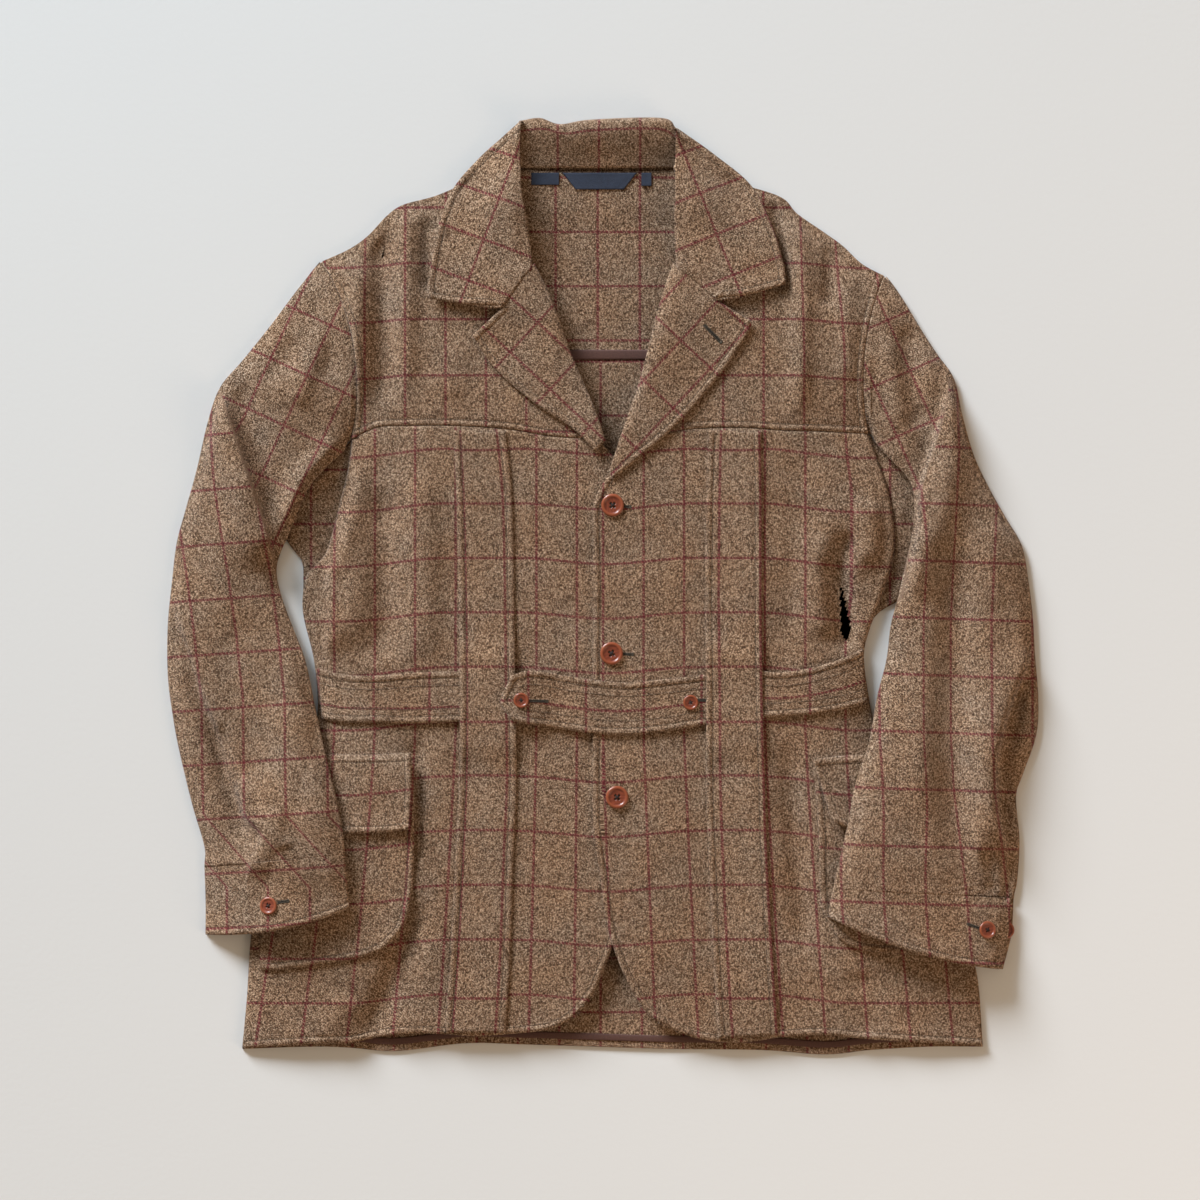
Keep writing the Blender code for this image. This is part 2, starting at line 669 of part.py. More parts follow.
def build_fronts():
    hole_r = armhole(SLEEVE_R, 24)[::-1]
    hole_l = armhole(SLEEVE_L, 24)[::-1]
    plan = patch(upward(SIDE_R), upward(EDGE_R), HEM_R, YOKE_SEAM_R, 19, 11, 0.4)
    sheet("front_r", raised(plan, body), TWEED)
    plan = patch(
        upward(EDGE_L), upward(SIDE_L), upward(HEM_L), upward(YOKE_SEAM_L), 19, 13, 0.4
    )
    sheet("front_l", raised(plan, left_front), TWEED)
    over = np.array([0, SEAM])
    plan = patch(
        hole_r + over, upward(NECK_R) + over, YOKE_SEAM_R + over, SHOULDER_R + over, 10, 11, 0.4
    )
    sheet("yoke_r", raised(plan, body), TWEED)
    plan = patch(
        upward(NECK_L) + over, hole_l + over, upward(YOKE_SEAM_L) + over,
        upward(SHOULDER_L) + over, 10, 13, 0.4
    )
    sheet("yoke_l", raised(plan, left_front), TWEED)


def build_pleats():
    for name, west, east, height in (
        ("pleat_r", PLEAT_OUTER_R, PLEAT_INNER_R, pleat),
        ("pleat_l", PLEAT_INNER_L, PLEAT_OUTER_L, pleat),
    ):
        west, east = west[::-1], east[::-1]
        plan = patch(west, east, (west[0], east[0]), (west[-1], east[-1]), 30, 3, 0.0)
        sheet(name, raised(plan, height), TWEED)


def build_belt():
    plan = patch(BELT_R_FOOT[:1] + BELT_R_TOP[:1], BELT_R_FOOT[-1:] + BELT_R_TOP[-1:],
                 BELT_R_FOOT, BELT_R_TOP, 4, 12, 0.1)
    sheet("belt_r", raised(plan, belt_side), TWEED)
    plan = patch(BELT_TIP[::-1], BELT_FOOT[-1:] + BELT_TOP[-1:], BELT_FOOT, BELT_TOP, 5, 18, 0.1)
    sheet("belt_front", raised(plan, belt), TWEED)
    plan = patch(BELT_L_FOOT[:1] + BELT_L_TOP[:1], BELT_L_FOOT[-1:] + BELT_L_TOP[-1:],
                 BELT_L_FOOT, BELT_L_TOP, 4, 12, 0.1)
    sheet("belt_l", raised(plan, belt_side), TWEED)


def build_pockets():
    plan = patch(upward(POCKET_BACK_R), upward(POCKET_SIDE_R), POCKET_FOOT_R, POCKET_TOP_R, 10, 8, 0.3)
    sheet("pocket_r", raised(plan, pocket), TWEED)
    plan = patch(upward(POCKET_SIDE_L), upward(POCKET_BACK_L), POCKET_FOOT_L, POCKET_TOP_L, 10, 8, 0.3)
    sheet("pocket_l", raised(plan, pocket), TWEED)
    plan = patch(upward(FLAP_BACK_R), upward(FLAP_SIDE_R), FLAP_FOOT_R, FLAP_TOP_R, 7, 7, 0.3)
    sheet("flap_r", raised(plan, flap), TWEED)
    plan = patch(upward(FLAP_SIDE_L), upward(FLAP_BACK_L), FLAP_FOOT_L, FLAP_TOP_L, 7, 7, 0.3)
    sheet("flap_l", raised(plan, flap), TWEED)


def build_lapels():
    """Each lies on the yoke and front from its edge to the fold it turns over at."""
    foot = (LAPEL_EDGE_R[-1], ROLL_R[-1])
    plan = patch(upward(LAPEL_EDGE_R), upward(ROLL_R), foot, GORGE_R, 13, 7, 0.3)
    sheet("lapel_r", lapel_points(plan, fronts), TWEED)
    foot = (ROLL_L[-1], LAPEL_EDGE_L[-1])
    plan = patch(upward(ROLL_L), upward(LAPEL_EDGE_L), foot, upward(GORGE_L), 13, 7, 0.3)
    plan = plan[:, ::-1]
    sheet("lapel_l", lapel_points(plan, left_front), TWEED)


def lapel_points(plan, under):
    rows, columns = plan.shape[:2]
    u = np.linspace(0, 1, columns)[None] * np.ones((rows, 1))
    wide = np.linalg.norm(plan[:, -1] - plan[:, 0], axis=1) / 70
    roll = lapel_roll(u) * np.clip(wide, 0, 1)[:, None]
    height = under(plan[..., 0], plan[..., 1]) + LAYER + roll
    return np.concatenate([plan, height[..., None]], -1)


def leaf_height(plan):
    """Collar leaf: on the yoke, over the shoulder, and up to its fold at the neck."""
    rows, columns = plan.shape[:2]
    x, y = plan[..., 0], plan[..., 1]
    u = np.linspace(0, 1, columns)[None] * np.ones((rows, 1))
    out = -np.clip(inside(x, y), None, 0)
    fall = 4.0 * smooth(out / 34)
    neck = smooth((y - 300) / 90)
    roll = (5.0 + 5.5 * neck) * smooth(u / 0.85) * (1 - 0.75 * smooth((u - 0.8) / 0.25) * (1 - neck))
    top = 4.5 * smooth((y - 385) / 30)
    return body(x, y) + LAYER - fall + roll + top


def build_collar():
    for name, edge, roll, foot in (
        ("collar_leaf_r", LEAF_EDGE_R, LEAF_ROLL_R, LEAF_FOOT_R),
        ("collar_leaf_l", LEAF_EDGE_L, LEAF_ROLL_L, LEAF_FOOT_L),
    ):
        plan = patch(upward(edge), roll, foot, (edge[0], roll[-1]), 13, 8, 0.2)
        sheet(name, np.concatenate([plan, leaf_height(plan)[..., None]], -1), TWEED)
    build_collar_back()


def build_collar_back():
    """Stand up from the neck seam, over the fold, and the fall flat behind it."""
    fold = along(COLLAR_FOLD, 15, even=False)
    across = np.linspace(0, 1, 15)
    foot = along(COLLAR_FOOT, 15)
    sag = 1 - COLLAR_SAG * abs(2 * across - 1) ** 3
    rows = []
    for part, height in COLLAR_WAY:
        line = foot + part * (fold - foot)
        rows.append(np.column_stack([line, height * sag]))
    sheet("collar_back", np.array(rows), TWEED)


def build_sleeves():
    for side, table in (("r", SLEEVE_R), ("l", SLEEVE_L)):
        last = seam_step(table)
        for wall, kind in (("top", "upper"), ("under", "lower")):
            sleeve_piece(f"sleeve_{wall}_{side}", table, kind, 24, 9, 0.0, last - CUFF_GAP)
        sleeve_piece(f"cuff_back_{side}", table, "lower", 5, 8, last, 1.0)
        start = PLACKET if side == "r" else 0.02
        sleeve_piece(
            f"cuff_over_{side}", table, "upper", 5, 8, last, 1.0, (start, 1.0), cuff_lap
        )
    sleeve_piece(
        "cuff_tab_r", SLEEVE_R, "upper", 5, 5, seam_step(SLEEVE_R), 1.0, (0.0, PLACKET + 0.1),
        under_lap,
    )


def under_lap(table, u):
    return np.full_like(u, CUFF_TAB_DROP)


def build_bindings():
    strip("yoke_binding", along(YOKE_TAPE, 12), YOKE_TAPE_HALF)
    x = np.linspace(*HEM_TAPE_ENDS, 16)
    hem = along(BACK_HEM, 120)
    y = np.interp(x, hem[:, 0], hem[:, 1]) + HEM_TAPE_UP
    strip("hem_binding", np.stack([x, y], 1), HEM_TAPE_HALF)


def strip(name, middle, half):
    plan = np.array([middle - (0, half), middle + (0, half)])
    sheet(name, raised(plan, tape_height), RUST_TAPE, TAPE)


def tape_height(x, y):
    return np.full_like(x, CLOTH + TAPE_AIR + TAPE)


def build_labels():
    for name, left, right, foot in LABELS:
        taper = LABEL_TAPER if name == "label_main" else 0
        middle = (left + right) / 2
        plan = np.array([
            [(left + taper, foot), (middle, foot - taper / 12), (right - taper, foot)],
            [(left, LABEL_TOP), (middle, LABEL_TOP), (right, LABEL_TOP)],
        ], float)
        sheet(name, raised(plan, label_height), NAVY, TAPE, 0.7)


def label_height(x, y):
    return yoke_inside(x, y) + SEAM + TAPE


def surface_under(kind, x, y):
    """Height of what a button lies on, at places around it."""
    if kind == "front":
        return left_front(x, y)
    if kind == "belt":
        return belt(x, y)
    table = SLEEVE_R if kind == "cuff_r" else SLEEVE_L
    u, v = grid(0.0, 1.0, seam_step(table), 1.0, 120, 160)
    if kind == "cuff_back_l":
        place, height = lower_sleeve(table, u, v)
    else:
        place, height = upper_sleeve(table, u, v, cuff_lap(table, u))
    apart = np.hypot(place[..., 0].ravel() - x[:, None], place[..., 1].ravel() - y[:, None])
    return height.ravel()[apart.argmin(1)]


def seat(kind, x, y, radius):
    """Height and slopes of a flat face that lies on the cloth under a button."""
    angle = np.linspace(0, 2 * math.pi, 16, endpoint=False)
    east = np.concatenate([radius * np.cos(angle), [0]])
    north = np.concatenate([radius * np.sin(angle), [0]])
    height = surface_under(kind, x + east, y + north)
    plane = np.stack([east, north, np.ones_like(east)], 1)
    fit = np.linalg.lstsq(plane, height, rcond=None)[0]
    return fit[2] + (height - plane @ fit).max() + SEAM, fit[0], fit[1]


def build_buttons():
    for name, x, y, radius, kind in BUTTONS:
        z, east_slope, north_slope = seat(kind, x, y, radius)
        up = Vector((-east_slope, -north_slope, 1)).normalized()
        turn = up.to_track_quat("Z", "Y").to_matrix().to_4x4()
        add_button(name, Matrix.Translation(Vector((x, y, z)) * MM) @ turn, radius)


def add_button(name, place, radius):
    """A turned button with a raised rim, a dished face and four holes."""
    mesh = bpy.data.meshes.new(name)
    bm = bmesh.new()
    verts = [bm.verts.new(Vector((out, 0, up)) * radius * MM) for out, up in BUTTON_SHAPE]
    for a, b in zip(verts, verts[1:]):
        bm.edges.new((a, b))
    bm.to_mesh(mesh)
    bm.free()
    piece = add_object(name, mesh, RUSSET, 0.35)
    piece.matrix_world = place
    screw = piece.modifiers.new("turned", "SCREW")
    screw.steps = screw.render_steps = 16
    screw.use_merge_vertices = True
    screw.merge_threshold = 0.00001
    out = BUTTON_HOLE_OUT * radius
    for number, angle in enumerate((45, 135, 225, 315)):
        turn = math.radians(angle)
        middle = Matrix.Translation(Vector((out * math.cos(turn), out * math.sin(turn), 0)) * MM)
        cutter = add_cutter(f"{name}_hole_{number}", place @ middle, BUTTON_HOLE * radius, radius)
        hole = piece.modifiers.new(f"hole_{number}", "BOOLEAN")
        hole.operation = "DIFFERENCE"
        hole.object = cutter


def add_cutter(name, place, radius, depth):
    mesh = bpy.data.meshes.new(name)
    bm = bmesh.new()
    bmesh.ops.create_cone(
        bm, cap_ends=True, segments=6, radius1=radius * MM, radius2=radius * MM, depth=depth * MM
    )
    bm.to_mesh(mesh)
    bm.free()
    cutter = bpy.data.objects.new(name, mesh)
    CUTTERS.objects.link(cutter)
    cutter.matrix_world = place
    cutter.hide_render = True
    cutter.display_type = "WIRE"
    return cutter


def centre_on_box():
    """Moves every piece so that the origin is the middle of the box's underside."""
    bpy.context.view_layer.update()
    depsgraph = bpy.context.evaluated_depsgraph_get()
    corners = []
    for piece in JACKET.objects:
        held = piece.evaluated_get(depsgraph)
        corners += [held.matrix_world @ v.co for v in held.data.vertices]
    corners = np.array([tuple(c) for c in corners])
    low, high = corners.min(0), corners.max(0)
    shift = np.array([(low[0] + high[0]) / 2, (low[1] + high[1]) / 2, low[2]])
    for piece in list(JACKET.objects) + list(CUTTERS.objects):
        piece.location = tuple(np.array(piece.location) - shift)


empty_scene()
JACKET = add_collection("norfolk_jacket")
CUTTERS = add_collection("cutters")
build_back()
build_fronts()
build_pleats()
build_belt()
build_pockets()
build_lapels()
build_collar()
build_sleeves()
build_bindings()
build_labels()
build_buttons()
centre_on_box()
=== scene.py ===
"""A norfolk jacket in windowpane tweed, laid flat and seen from straight above.

The outlines and heights are the jacket's own tables in millimetres. Each cloth
piece is a thin shell over its plain solid, with folds, stitched rims and nap.
"""

import math

import bmesh
import bpy
import numpy as np
from mathutils import Matrix, Vector
from mathutils.bvhtree import BVHTree


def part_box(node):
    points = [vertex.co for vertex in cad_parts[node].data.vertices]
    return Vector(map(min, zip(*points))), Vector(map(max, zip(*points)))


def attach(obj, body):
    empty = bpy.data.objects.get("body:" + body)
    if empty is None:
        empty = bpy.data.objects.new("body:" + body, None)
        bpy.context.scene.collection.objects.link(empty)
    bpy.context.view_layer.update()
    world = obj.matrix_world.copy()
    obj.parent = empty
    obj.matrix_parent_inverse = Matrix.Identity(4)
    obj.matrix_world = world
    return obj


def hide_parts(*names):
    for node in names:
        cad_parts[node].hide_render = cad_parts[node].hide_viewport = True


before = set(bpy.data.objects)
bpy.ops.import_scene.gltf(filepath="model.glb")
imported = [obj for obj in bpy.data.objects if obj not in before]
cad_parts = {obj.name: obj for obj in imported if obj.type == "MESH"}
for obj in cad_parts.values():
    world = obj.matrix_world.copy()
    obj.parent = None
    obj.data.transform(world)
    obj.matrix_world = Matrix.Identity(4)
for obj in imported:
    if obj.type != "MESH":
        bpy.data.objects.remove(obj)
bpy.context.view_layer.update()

MM = 0.001
# Driving sizes, in millimetres
CLOTH = 2.0  # tweed, one wall
SEAM = 0.4  # between pieces that are sewn edge to edge
LAID = 0.6  # under a piece that lies on another
LAYER = CLOTH + LAID  # how far a laid piece lifts what lies on it
EDGE = 2 * CLOTH + 0.6  # outer face of a front where it meets the back
ROUND = 75.0  # from the side edge to the flat of the front
TAPE = 0.6  # binding and labels
HIDDEN_SEAM = 2.4  # between the back and the lower side of a sleeve
ARMPIT_GAP = 1.6  # more between a sleeve and the body at the armpit
SLEEVE_LIP = 0.9  # between a sleeve's two sides along its edges
SLEEVE_AIR = 1.6  # under a sleeve that lies on the body
BELT_AIR = 0.4  # more air under the belt, which is stiffer than a pocket

# The wearer's right is at -X. Outlines run from the armpit to the hem.
SIDE_R = (
    (-226, 131), (-227, 118), (-230, 100), (-236, 76), (-242, 52), (-248, 32),
    (-256, 21), (-265, 12), (-269, -4), (-269, -26), (-259, -70), (-257, -122),
    (-272, -183), (-295, -246), (-314, -300), (-320, -372), (-324, -415),
)
SIDE_L = (
    (239, 137), (246, 118), (258, 82), (263, 43), (259, 14), (246, -22),
    (238, -45), (235, -64), (240, -102), (250, -147), (272, -201),
    (302, -255), (324, -305), (337, -350), (342, -413),
)
# The back shows past the fronts' side folds, under the arms.
BACK_SIDE_R = (
    (-226, 131), (-230, 117), (-240, 107), (-252, 98), (-265, 88), (-276, 74),
    (-283, 60), (-284, 47), (-279, 37), (-270, 27), (-269, 8), *SIDE_R[9:],
)
BACK_SIDE_L = (
    (239, 137), (243, 123), (252, 111), (262, 101), (272, 91), (279, 80), (282, 66),
    (281, 47), (277, 28), (272, 8), (266, -10), (257, -17), (246, -24), (237, -50),
    (235, -66), *SIDE_L[8:],
)
# Here its cloth runs on a little under the sleeves.
TUCKED_R = (
    (-226, 131), (-233, 125), (-243, 117), (-254, 107), (-266, 95), (-277, 78), (-285, 58),
    (-286, 46), (-280, 35), (-271, 25), (-269, 8), *SIDE_R[9:],
)
TUCKED_L = (
    (239, 137), (247, 131), (256, 122), (267, 111), (278, 99), (284, 85), (285, 66),
    (283, 47), (279, 28), (274, 8), (268, -11), (257, -18), (246, -25), *BACK_SIDE_L[13:],
)
SHOULDER_R = (
    (-252, 292), (-228, 303), (-211, 315), (-194, 333), (-179, 343),
    (-150, 351), (-119, 364), (-85, 376),
)
SHOULDER_L = (
    (253, 279), (233, 290), (216, 306), (198, 319), (175, 335),
    (160, 350), (119, 363), (75, 376),
)
NECK_R = (
    (-85, 376), (-77, 343), (-75, 316), (-70, 292), (-57, 258),
    (-41, 213), (-24, 172), (-5, 133),
)
NECK_L = (
    (75, 376), (73, 343), (72, 307), (67, 280), (60, 250),
    (50, 214), (40, 178), (21, 133),
)
YOKE_SEAM_R = (
    (-226, 131), (-214, 138), (-200, 143), (-179, 144), (-135, 144),
    (-86, 141), (-50, 135), (-25, 133), (-5, 133),
)
YOKE_SEAM_L = (
    (239, 137), (200, 139), (160, 140), (131, 142), (95, 142), (63, 139), (21, 133),
)
EDGE_R = (
    (-5, 133), (13, 112), (25, 87), (27, 42), (27, -102), (27, -237),
    (21, -287), (10, -321), (2, -342), (-7, -363), (-19, -380),
)
EDGE_L = (
    (21, 133), (8, 105), (-3, 87), (-9, 70), (-9, 50), (-8, 1), (-9, -60),
    (-9, -150), (-9, -202), (-7, -227), (-2, -261), (3, -299), (10, -325),
    (21, -352), (36, -378), (49, -390),
)
HEM_R = (
    (-324, -415), (-261, -411), (-226, -410), (-202, -405), (-179, -402),
    (-146, -402), (-113, -404), (-71, -401), (-49, -398), (-32, -391), (-19, -380),
)
HEM_L = (
    (342, -413), (311, -411), (241, -407), (200, -403), (160, -405),
    (142, -408), (118, -410), (89, -407), (68, -400), (49, -390),
)
BACK_HEM = (
    (-324, -416), (-261, -414), (-226, -415), (-185, -418), (-124, -411),
    (-71, -412), (-7, -414), (57, -416), (142, -417), (200, -421),
    (241, -417), (295, -414), (342, -414),
)
BACK_SEAM_Y = 207.0
BACK_NECK = ((-85, 376), (-60, 374), (0, 373.5), (52, 374), (75, 376))

# Sleeve sections from the armhole to the cuff's edge:
# outer x and y, inner x and y, bow towards the body, puff over the lower side
SLEEVE_R = (
    (-252, 292, -226, 131, 16, 8),
    (-272, 270, -233, 121, 12, 9),
    (-299, 234, -241, 114, 7, 11),
    (-324, 203, -251, 104, 4, 13),
    (-344, 179, -262, 91, 0, 14),
    (-355, 148, -272, 71, 0, 14),
    (-365, 105, -281, 48, 0, 15),
    (-375, 69, -289, 31, 0, 15),
    (-383, 39, -293, 15, 0, 15),
    (-387, 6, -290, -4, 0, 15),
    (-391, -35, -279, -35, 0, 15),
    (-391, -79, -267, -66, 0, 14),
    (-387, -113, -258, -108, 0, 14),
    (-381, -146, -249, -148, 0, 13),
    (-369, -196, -238, -192, 0, 13),
    (-358, -234, -232, -226, 0, 12),
    (-358, -252, -231, -240, 0, 11),
    (-357, -283, -229, -265, 0, 10),
    (-357, -313, -227, -289, -7, 9),
)
SLEEVE_L = (
    (253, 279, 239, 137, -10, 8),
    (269, 260, 244.5, 130, -8, 9),
    (286, 232, 252, 121, -5, 11),
    (301, 209, 262, 110.5, -3, 13),
    (316, 187, 273, 99, 0, 14),
    (324, 153, 279, 86, 0, 14),
    (334, 118, 280, 68, 0, 15),
    (347, 90, 278, 47, 0, 15),
    (362, 63, 274, 28, 0, 15),
    (377, 37, 270, 10, 0, 15),
    (383, 6, 265, -11, 0, 15),
    (387, -28, 259, -35, 0, 15),
    (389, -61, 255, -66, 0, 14),
    (392, -102, 246, -101, 0, 14),
    (390, -134, 239, -140, 0, 14),
    (378, -169, 227, -176, 0, 13),
    (372, -189, 221, -206, 0, 13),
    (375, -228, 214, -239, 0, 12),
    (373, -264, 209, -259, 0, 11),
    (370, -280, 207, -271, 0, 11),
    (368, -312, 204, -284, 6, 10),
    (360, -344, 202, -296, 8, 9),
)
CUFF_GAP = 0.0012  # between a sleeve and its cuff, as a part of the sleeve's length
CUFF_TAB_DROP = -0.4  # the right cuff's other end, below the sleeve's own height
CUFF_LAP = 2.6  # how far the right cuff's button end stands over its other end
PLACKET = 0.30  # where the right cuff's button end stops, across the sleeve
PLACKET_L = 0.02  # where the left one's stops
CUFF_ROWS = 2  # rows of a sleeve's table after its cuff seam

ROLL_R = ((-61, 290), (-45, 257), (-28, 209), (-9, 165), (3, 131))
ROLL_L = ((63, 290), (50, 250), (41, 214), (31, 178), (18, 140), (6, 104))
GORGE_R = ((-117, 225), (-90, 251), (-61, 290))
GORGE_L = ((134, 238), (103, 257), (63, 290))
LAPEL_EDGE_R = ((-117, 225), (-98, 197), (-62, 165), (-26, 141), (-7, 121))
LAPEL_EDGE_L = (
    (134, 238), (130, 226), (107, 192), (71, 149), (35, 117), (9, 96),
)
LEAF_EDGE_R = (
    (-73, 419), (-92, 402), (-111, 385), (-134, 358), (-147, 325),
    (-156, 275), (-156, 258),
)
LEAF_EDGE_L = (
    (67, 412), (101, 388), (134, 360), (153, 322), (163, 287), (164, 271),
)
LEAF_FOOT_R = ((-156, 258), (-123, 253), (-93, 251.5))
LEAF_FOOT_L = ((164, 271), (133, 262), (104.5, 258.5))
LEAF_ROLL_R = (
    (-93, 251.5), (-78, 274), (-63.5, 293), (-67, 325), (-72, 352),
    (-73.5, 377), (-74, 398), (-72.6, 417),
)
LEAF_ROLL_L = (
    (104.5, 258.5), (85, 275), (65.5, 293), (64.5, 325), (65, 352),
    (65, 377), (65.5, 395), (66, 410),
)

PLEAT_OUTER_R = (
    (-134, 140), (-131, 78), (-129, -12), (-128, -102), (-129, -174),
    (-132, -246), (-137, -336), (-142, -401),
)
PLEAT_INNER_R = (
    (-87, 140), (-81, 78), (-79, -12), (-78, -102), (-77, -174),
    (-80, -246), (-83, -336), (-87, -401),
)
PLEAT_INNER_L = (
    (95, 140), (93, 78), (92, -12), (93, -102), (93, -174),
    (95, -237), (99, -327), (104, -406.5),
)
PLEAT_OUTER_L = (
    (142, 140), (143, 78), (143, -12), (144, -102), (146, -174),
    (148, -237), (153, -327), (158, -403),
)

BELT_R_TOP = ((-258, -73), (-232, -79), (-202, -80), (-164, -77), (-112, -76))
BELT_R_FOOT = ((-252, -119), (-232, -122), (-202, -122), (-173, -123), (-112, -121))
BELT_TOP = (
    (-82, -80), (-70, -76), (-55, -76), (-28, -81), (4, -85), (25, -86),
    (57, -83), (100, -78), (118, -77),
)
BELT_FOOT = (
    (-82, -120), (-72, -123), (-49, -126), (-7, -132), (25, -133),
    (57, -130), (100, -123), (118, -121),
)
BELT_TIP = ((-82, -80), (-91, -99), (-91, -106), (-82, -120))
BELT_L_TOP = ((118.6, -76), (136, -75), (160, -77), (187, -73), (214, -65), (234, -56))
BELT_L_FOOT = (
    (118.6, -120), (136, -118), (160, -117), (187, -115), (214, -111), (238, -105),
)

POCKET_TOP_R = ((-258, -160), (-212, -160), (-170, -160))
POCKET_FOOT_R = ((-308, -344), (-290, -344), (-246, -338), (-217, -333), (-196, -325))
POCKET_SIDE_R = (
    (-170, -160), (-169, -192), (-169, -237), (-171, -273), (-179, -305), (-196, -325),
)
POCKET_BACK_R = ((-258, -160), (-265, -188), (-287, -245), (-306, -300), (-308, -344))
POCKET_TOP_L = ((189, -162), (215, -162), (247, -162))
POCKET_FOOT_L = ((211, -315), (228, -325), (268, -330), (300, -331), (322, -332))
POCKET_SIDE_L = ((189, -162), (192, -190), (194, -228), (195, -269), (198, -292), (211, -315))
POCKET_BACK_L = ((247, -162), (266, -205), (296, -258), (317, -306), (322, -332))
FLAP_TOP_R = ((-254, -150), (-212, -151), (-172, -149))
FLAP_FOOT_R = ((-272, -217), (-235, -221), (-202, -221), (-173, -218))
FLAP_SIDE_R = ((-172, -149), (-171, -182), (-173, -218))
FLAP_BACK_R = ((-254, -150), (-261, -180), (-272, -217))
FLAP_TOP_L = ((188, -155), (215, -152), (244, -151))
FLAP_FOOT_L = ((209, -212), (222, -217), (245, -217), (270, -213))
FLAP_SIDE_L = ((188, -155), (197, -182), (204, -205), (209, -212))
FLAP_BACK_L = ((244, -151), (256, -182), (270, -213))

# Named places of the buttons: x, y, radius, and the piece that each lies on
FRONT_BUTTON, BELT_BUTTON, CUFF_BUTTON = 10.2, 6.8, 7.9
BUTTONS = (
    ("button_front_top", 9, 73, FRONT_BUTTON, "front_l"),
    ("button_front_middle", 8, -60, FRONT_BUTTON, "front_l"),
    ("button_front_low", 13, -189, FRONT_BUTTON, "front_l"),
    ("button_belt_r", -73, -102, BELT_BUTTON, "belt_front"),
    ("button_belt_l", 79, -104, BELT_BUTTON, "belt_front"),
    ("button_cuff_r", -299, -286, CUFF_BUTTON, "cuff_over_r"),
    ("button_cuff_l", 345, -308, CUFF_BUTTON, "cuff_over_l"),
    ("button_cuff_l_inner", 362.5, -309, CUFF_BUTTON, "cuff_back_l"),
)
# Outer faces of the labels: left, right and foot
LABEL_TOP = 372.0
LABELS = (
    ("label_care", -64, -39, 361),
    ("label_main", -36, 31, 357),
    ("label_size", 35, 44, 360),
)
BUTTON_HOLE = 0.12  # radius of each of a button's four holes, as a part of its radius
BUTTON_HOLE_OUT = 0.21  # from the button's middle, as a part of its radius
LABEL_TAPER = 12.0  # how far each end of the main label slopes in

# Height of the front's flat above the floor, by distance up the body
FLAT_Y = (-420, -330, -200, -60, 60, 150, 250, 330, 380)
FLAT_Z = (9.5, 13.5, 15.5, 16.0, 16.0, 16.5, 17.0, 15.5, 12.0)

# Broad folds in the fronts: from x, y to x, y, half width, height
BODY_FOLDS = (
    (-222, 100, -252, 20, 15, 2.4),
    (-200, 122, -198, 55, 15, -2.0),
    (-180, 90, -178, -60, 16, 1.6),
    (-190, 330, -186, 175, 14, -2.4),
    (-216, 284, -212, 170, 14, 1.6),
    (238, 78, 226, 12, 14, 2.2),
    (205, 20, 208, -50, 14, -2.0),
    (178, 110, 180, -50, 14, 1.6),
    (196, 300, 194, 190, 15, 2.0),
    (-236, -360, -240, -410, 14, -1.4),
    (236, -366, 240, -408, 14, 1.4),
)
# Folds in the sleeves' upper sides
SLEEVE_FOLDS = (
    (-352, 168, -306, 28, 15, 5.0),
    (-326, 176, -280, 62, 13, -4.0),
    (-270, 236, -296, 172, 13, 2.4),
    (-378, -6, -338, -168, 11, -3.2),
    (-322, -60, -300, -205, 16, 2.6),
    (-338, -168, -318, -232, 10, -2.6),
    (328, 176, 300, 36, 14, 5.0),
    (302, 178, 283, 92, 12, -4.0),
    (276, 222, 296, 160, 13, 2.0),
    (376, -70, 362, -222, 11, -3.2),
    (296, -40, 308, -240, 12, -2.6),
    (338, -30, 344, -230, 16, 2.8),
)

NECK_LIFT = 3.0  # the collar's fall lies under the neck
COLLAR_FOLD = ((-70, 418), (-55, 420.5), (-38, 415), (-10, 419), (52, 420.5), (62, 411))
COLLAR_FOOT = ((-70.5, 375.2), (62, 375.2))
COLLAR_SAG = 0.22  # how much lower the stand is at its ends
# From the neck seam over the fold: part of the way to the fold, outer face's height
COLLAR_WAY = (
    (0.02, 7.8), (0.25, 11.0), (0.5, 15.5), (0.75, 19.0), (0.92, 19.2), (1.0, 15.0),
    (1.0, 7.0), (0.92, 1.6), (0.8, 0.0), (0.3, 0.0), (-0.4, 0.0),
)

YOKE_TAPE = ((-205, 208.5), (220, 208.5))
YOKE_TAPE_HALF = 4.5
HEM_TAPE_ENDS = (-316, 334)
HEM_TAPE_UP = 9.0  # from the back's hem to the middle of its tape
HEM_TAPE_HALF = 3.0
TAPE_AIR = 0.3  # under the tapes


def smooth(t):
    t = np.clip(t, 0.0, 1.0)
    return t * t * (3 - 2 * t)


def along(points, count, even=True):
    """count places on a smooth curve through the points, (n, dimensions)."""
    p = np.array(points, float)
    if len(p) == 2:
        steps = np.linspace(0, 1, count)[:, None]
        return p[0] * (1 - steps) + p[1] * steps
    ends = np.vstack([2 * p[0] - p[1], p, 2 * p[-1] - p[-2]])
    fine = []
    for a, b, c, d in zip(ends, ends[1:], ends[2:], ends[3:]):
        t = np.linspace(0, 1, 16, endpoint=False)[:, None]
        fine.append(
            b + 0.5 * t * (c - a + t * (2 * a - 5 * b + 4 * c - d + t * (3 * (b - c) + d - a)))
        )
    fine = np.vstack(fine + [p[-1:]])
    length = np.arange(len(fine), dtype=float) / (len(fine) - 1)
    if even:
        steps = np.linalg.norm(np.diff(fine, axis=0), axis=1)
        length = np.concatenate([[0], np.cumsum(steps)])
        length /= length[-1]
    at = np.linspace(0, 1, count)
    return np.stack([np.interp(at, length, column) for column in fine.T], 1)


def distance(points, x, y):
    """From each place to the nearest point of a curve."""
    fine = along(points, 240)
    apart = np.hypot(x[..., None] - fine[:, 0], y[..., None] - fine[:, 1])
    return apart.min(-1)


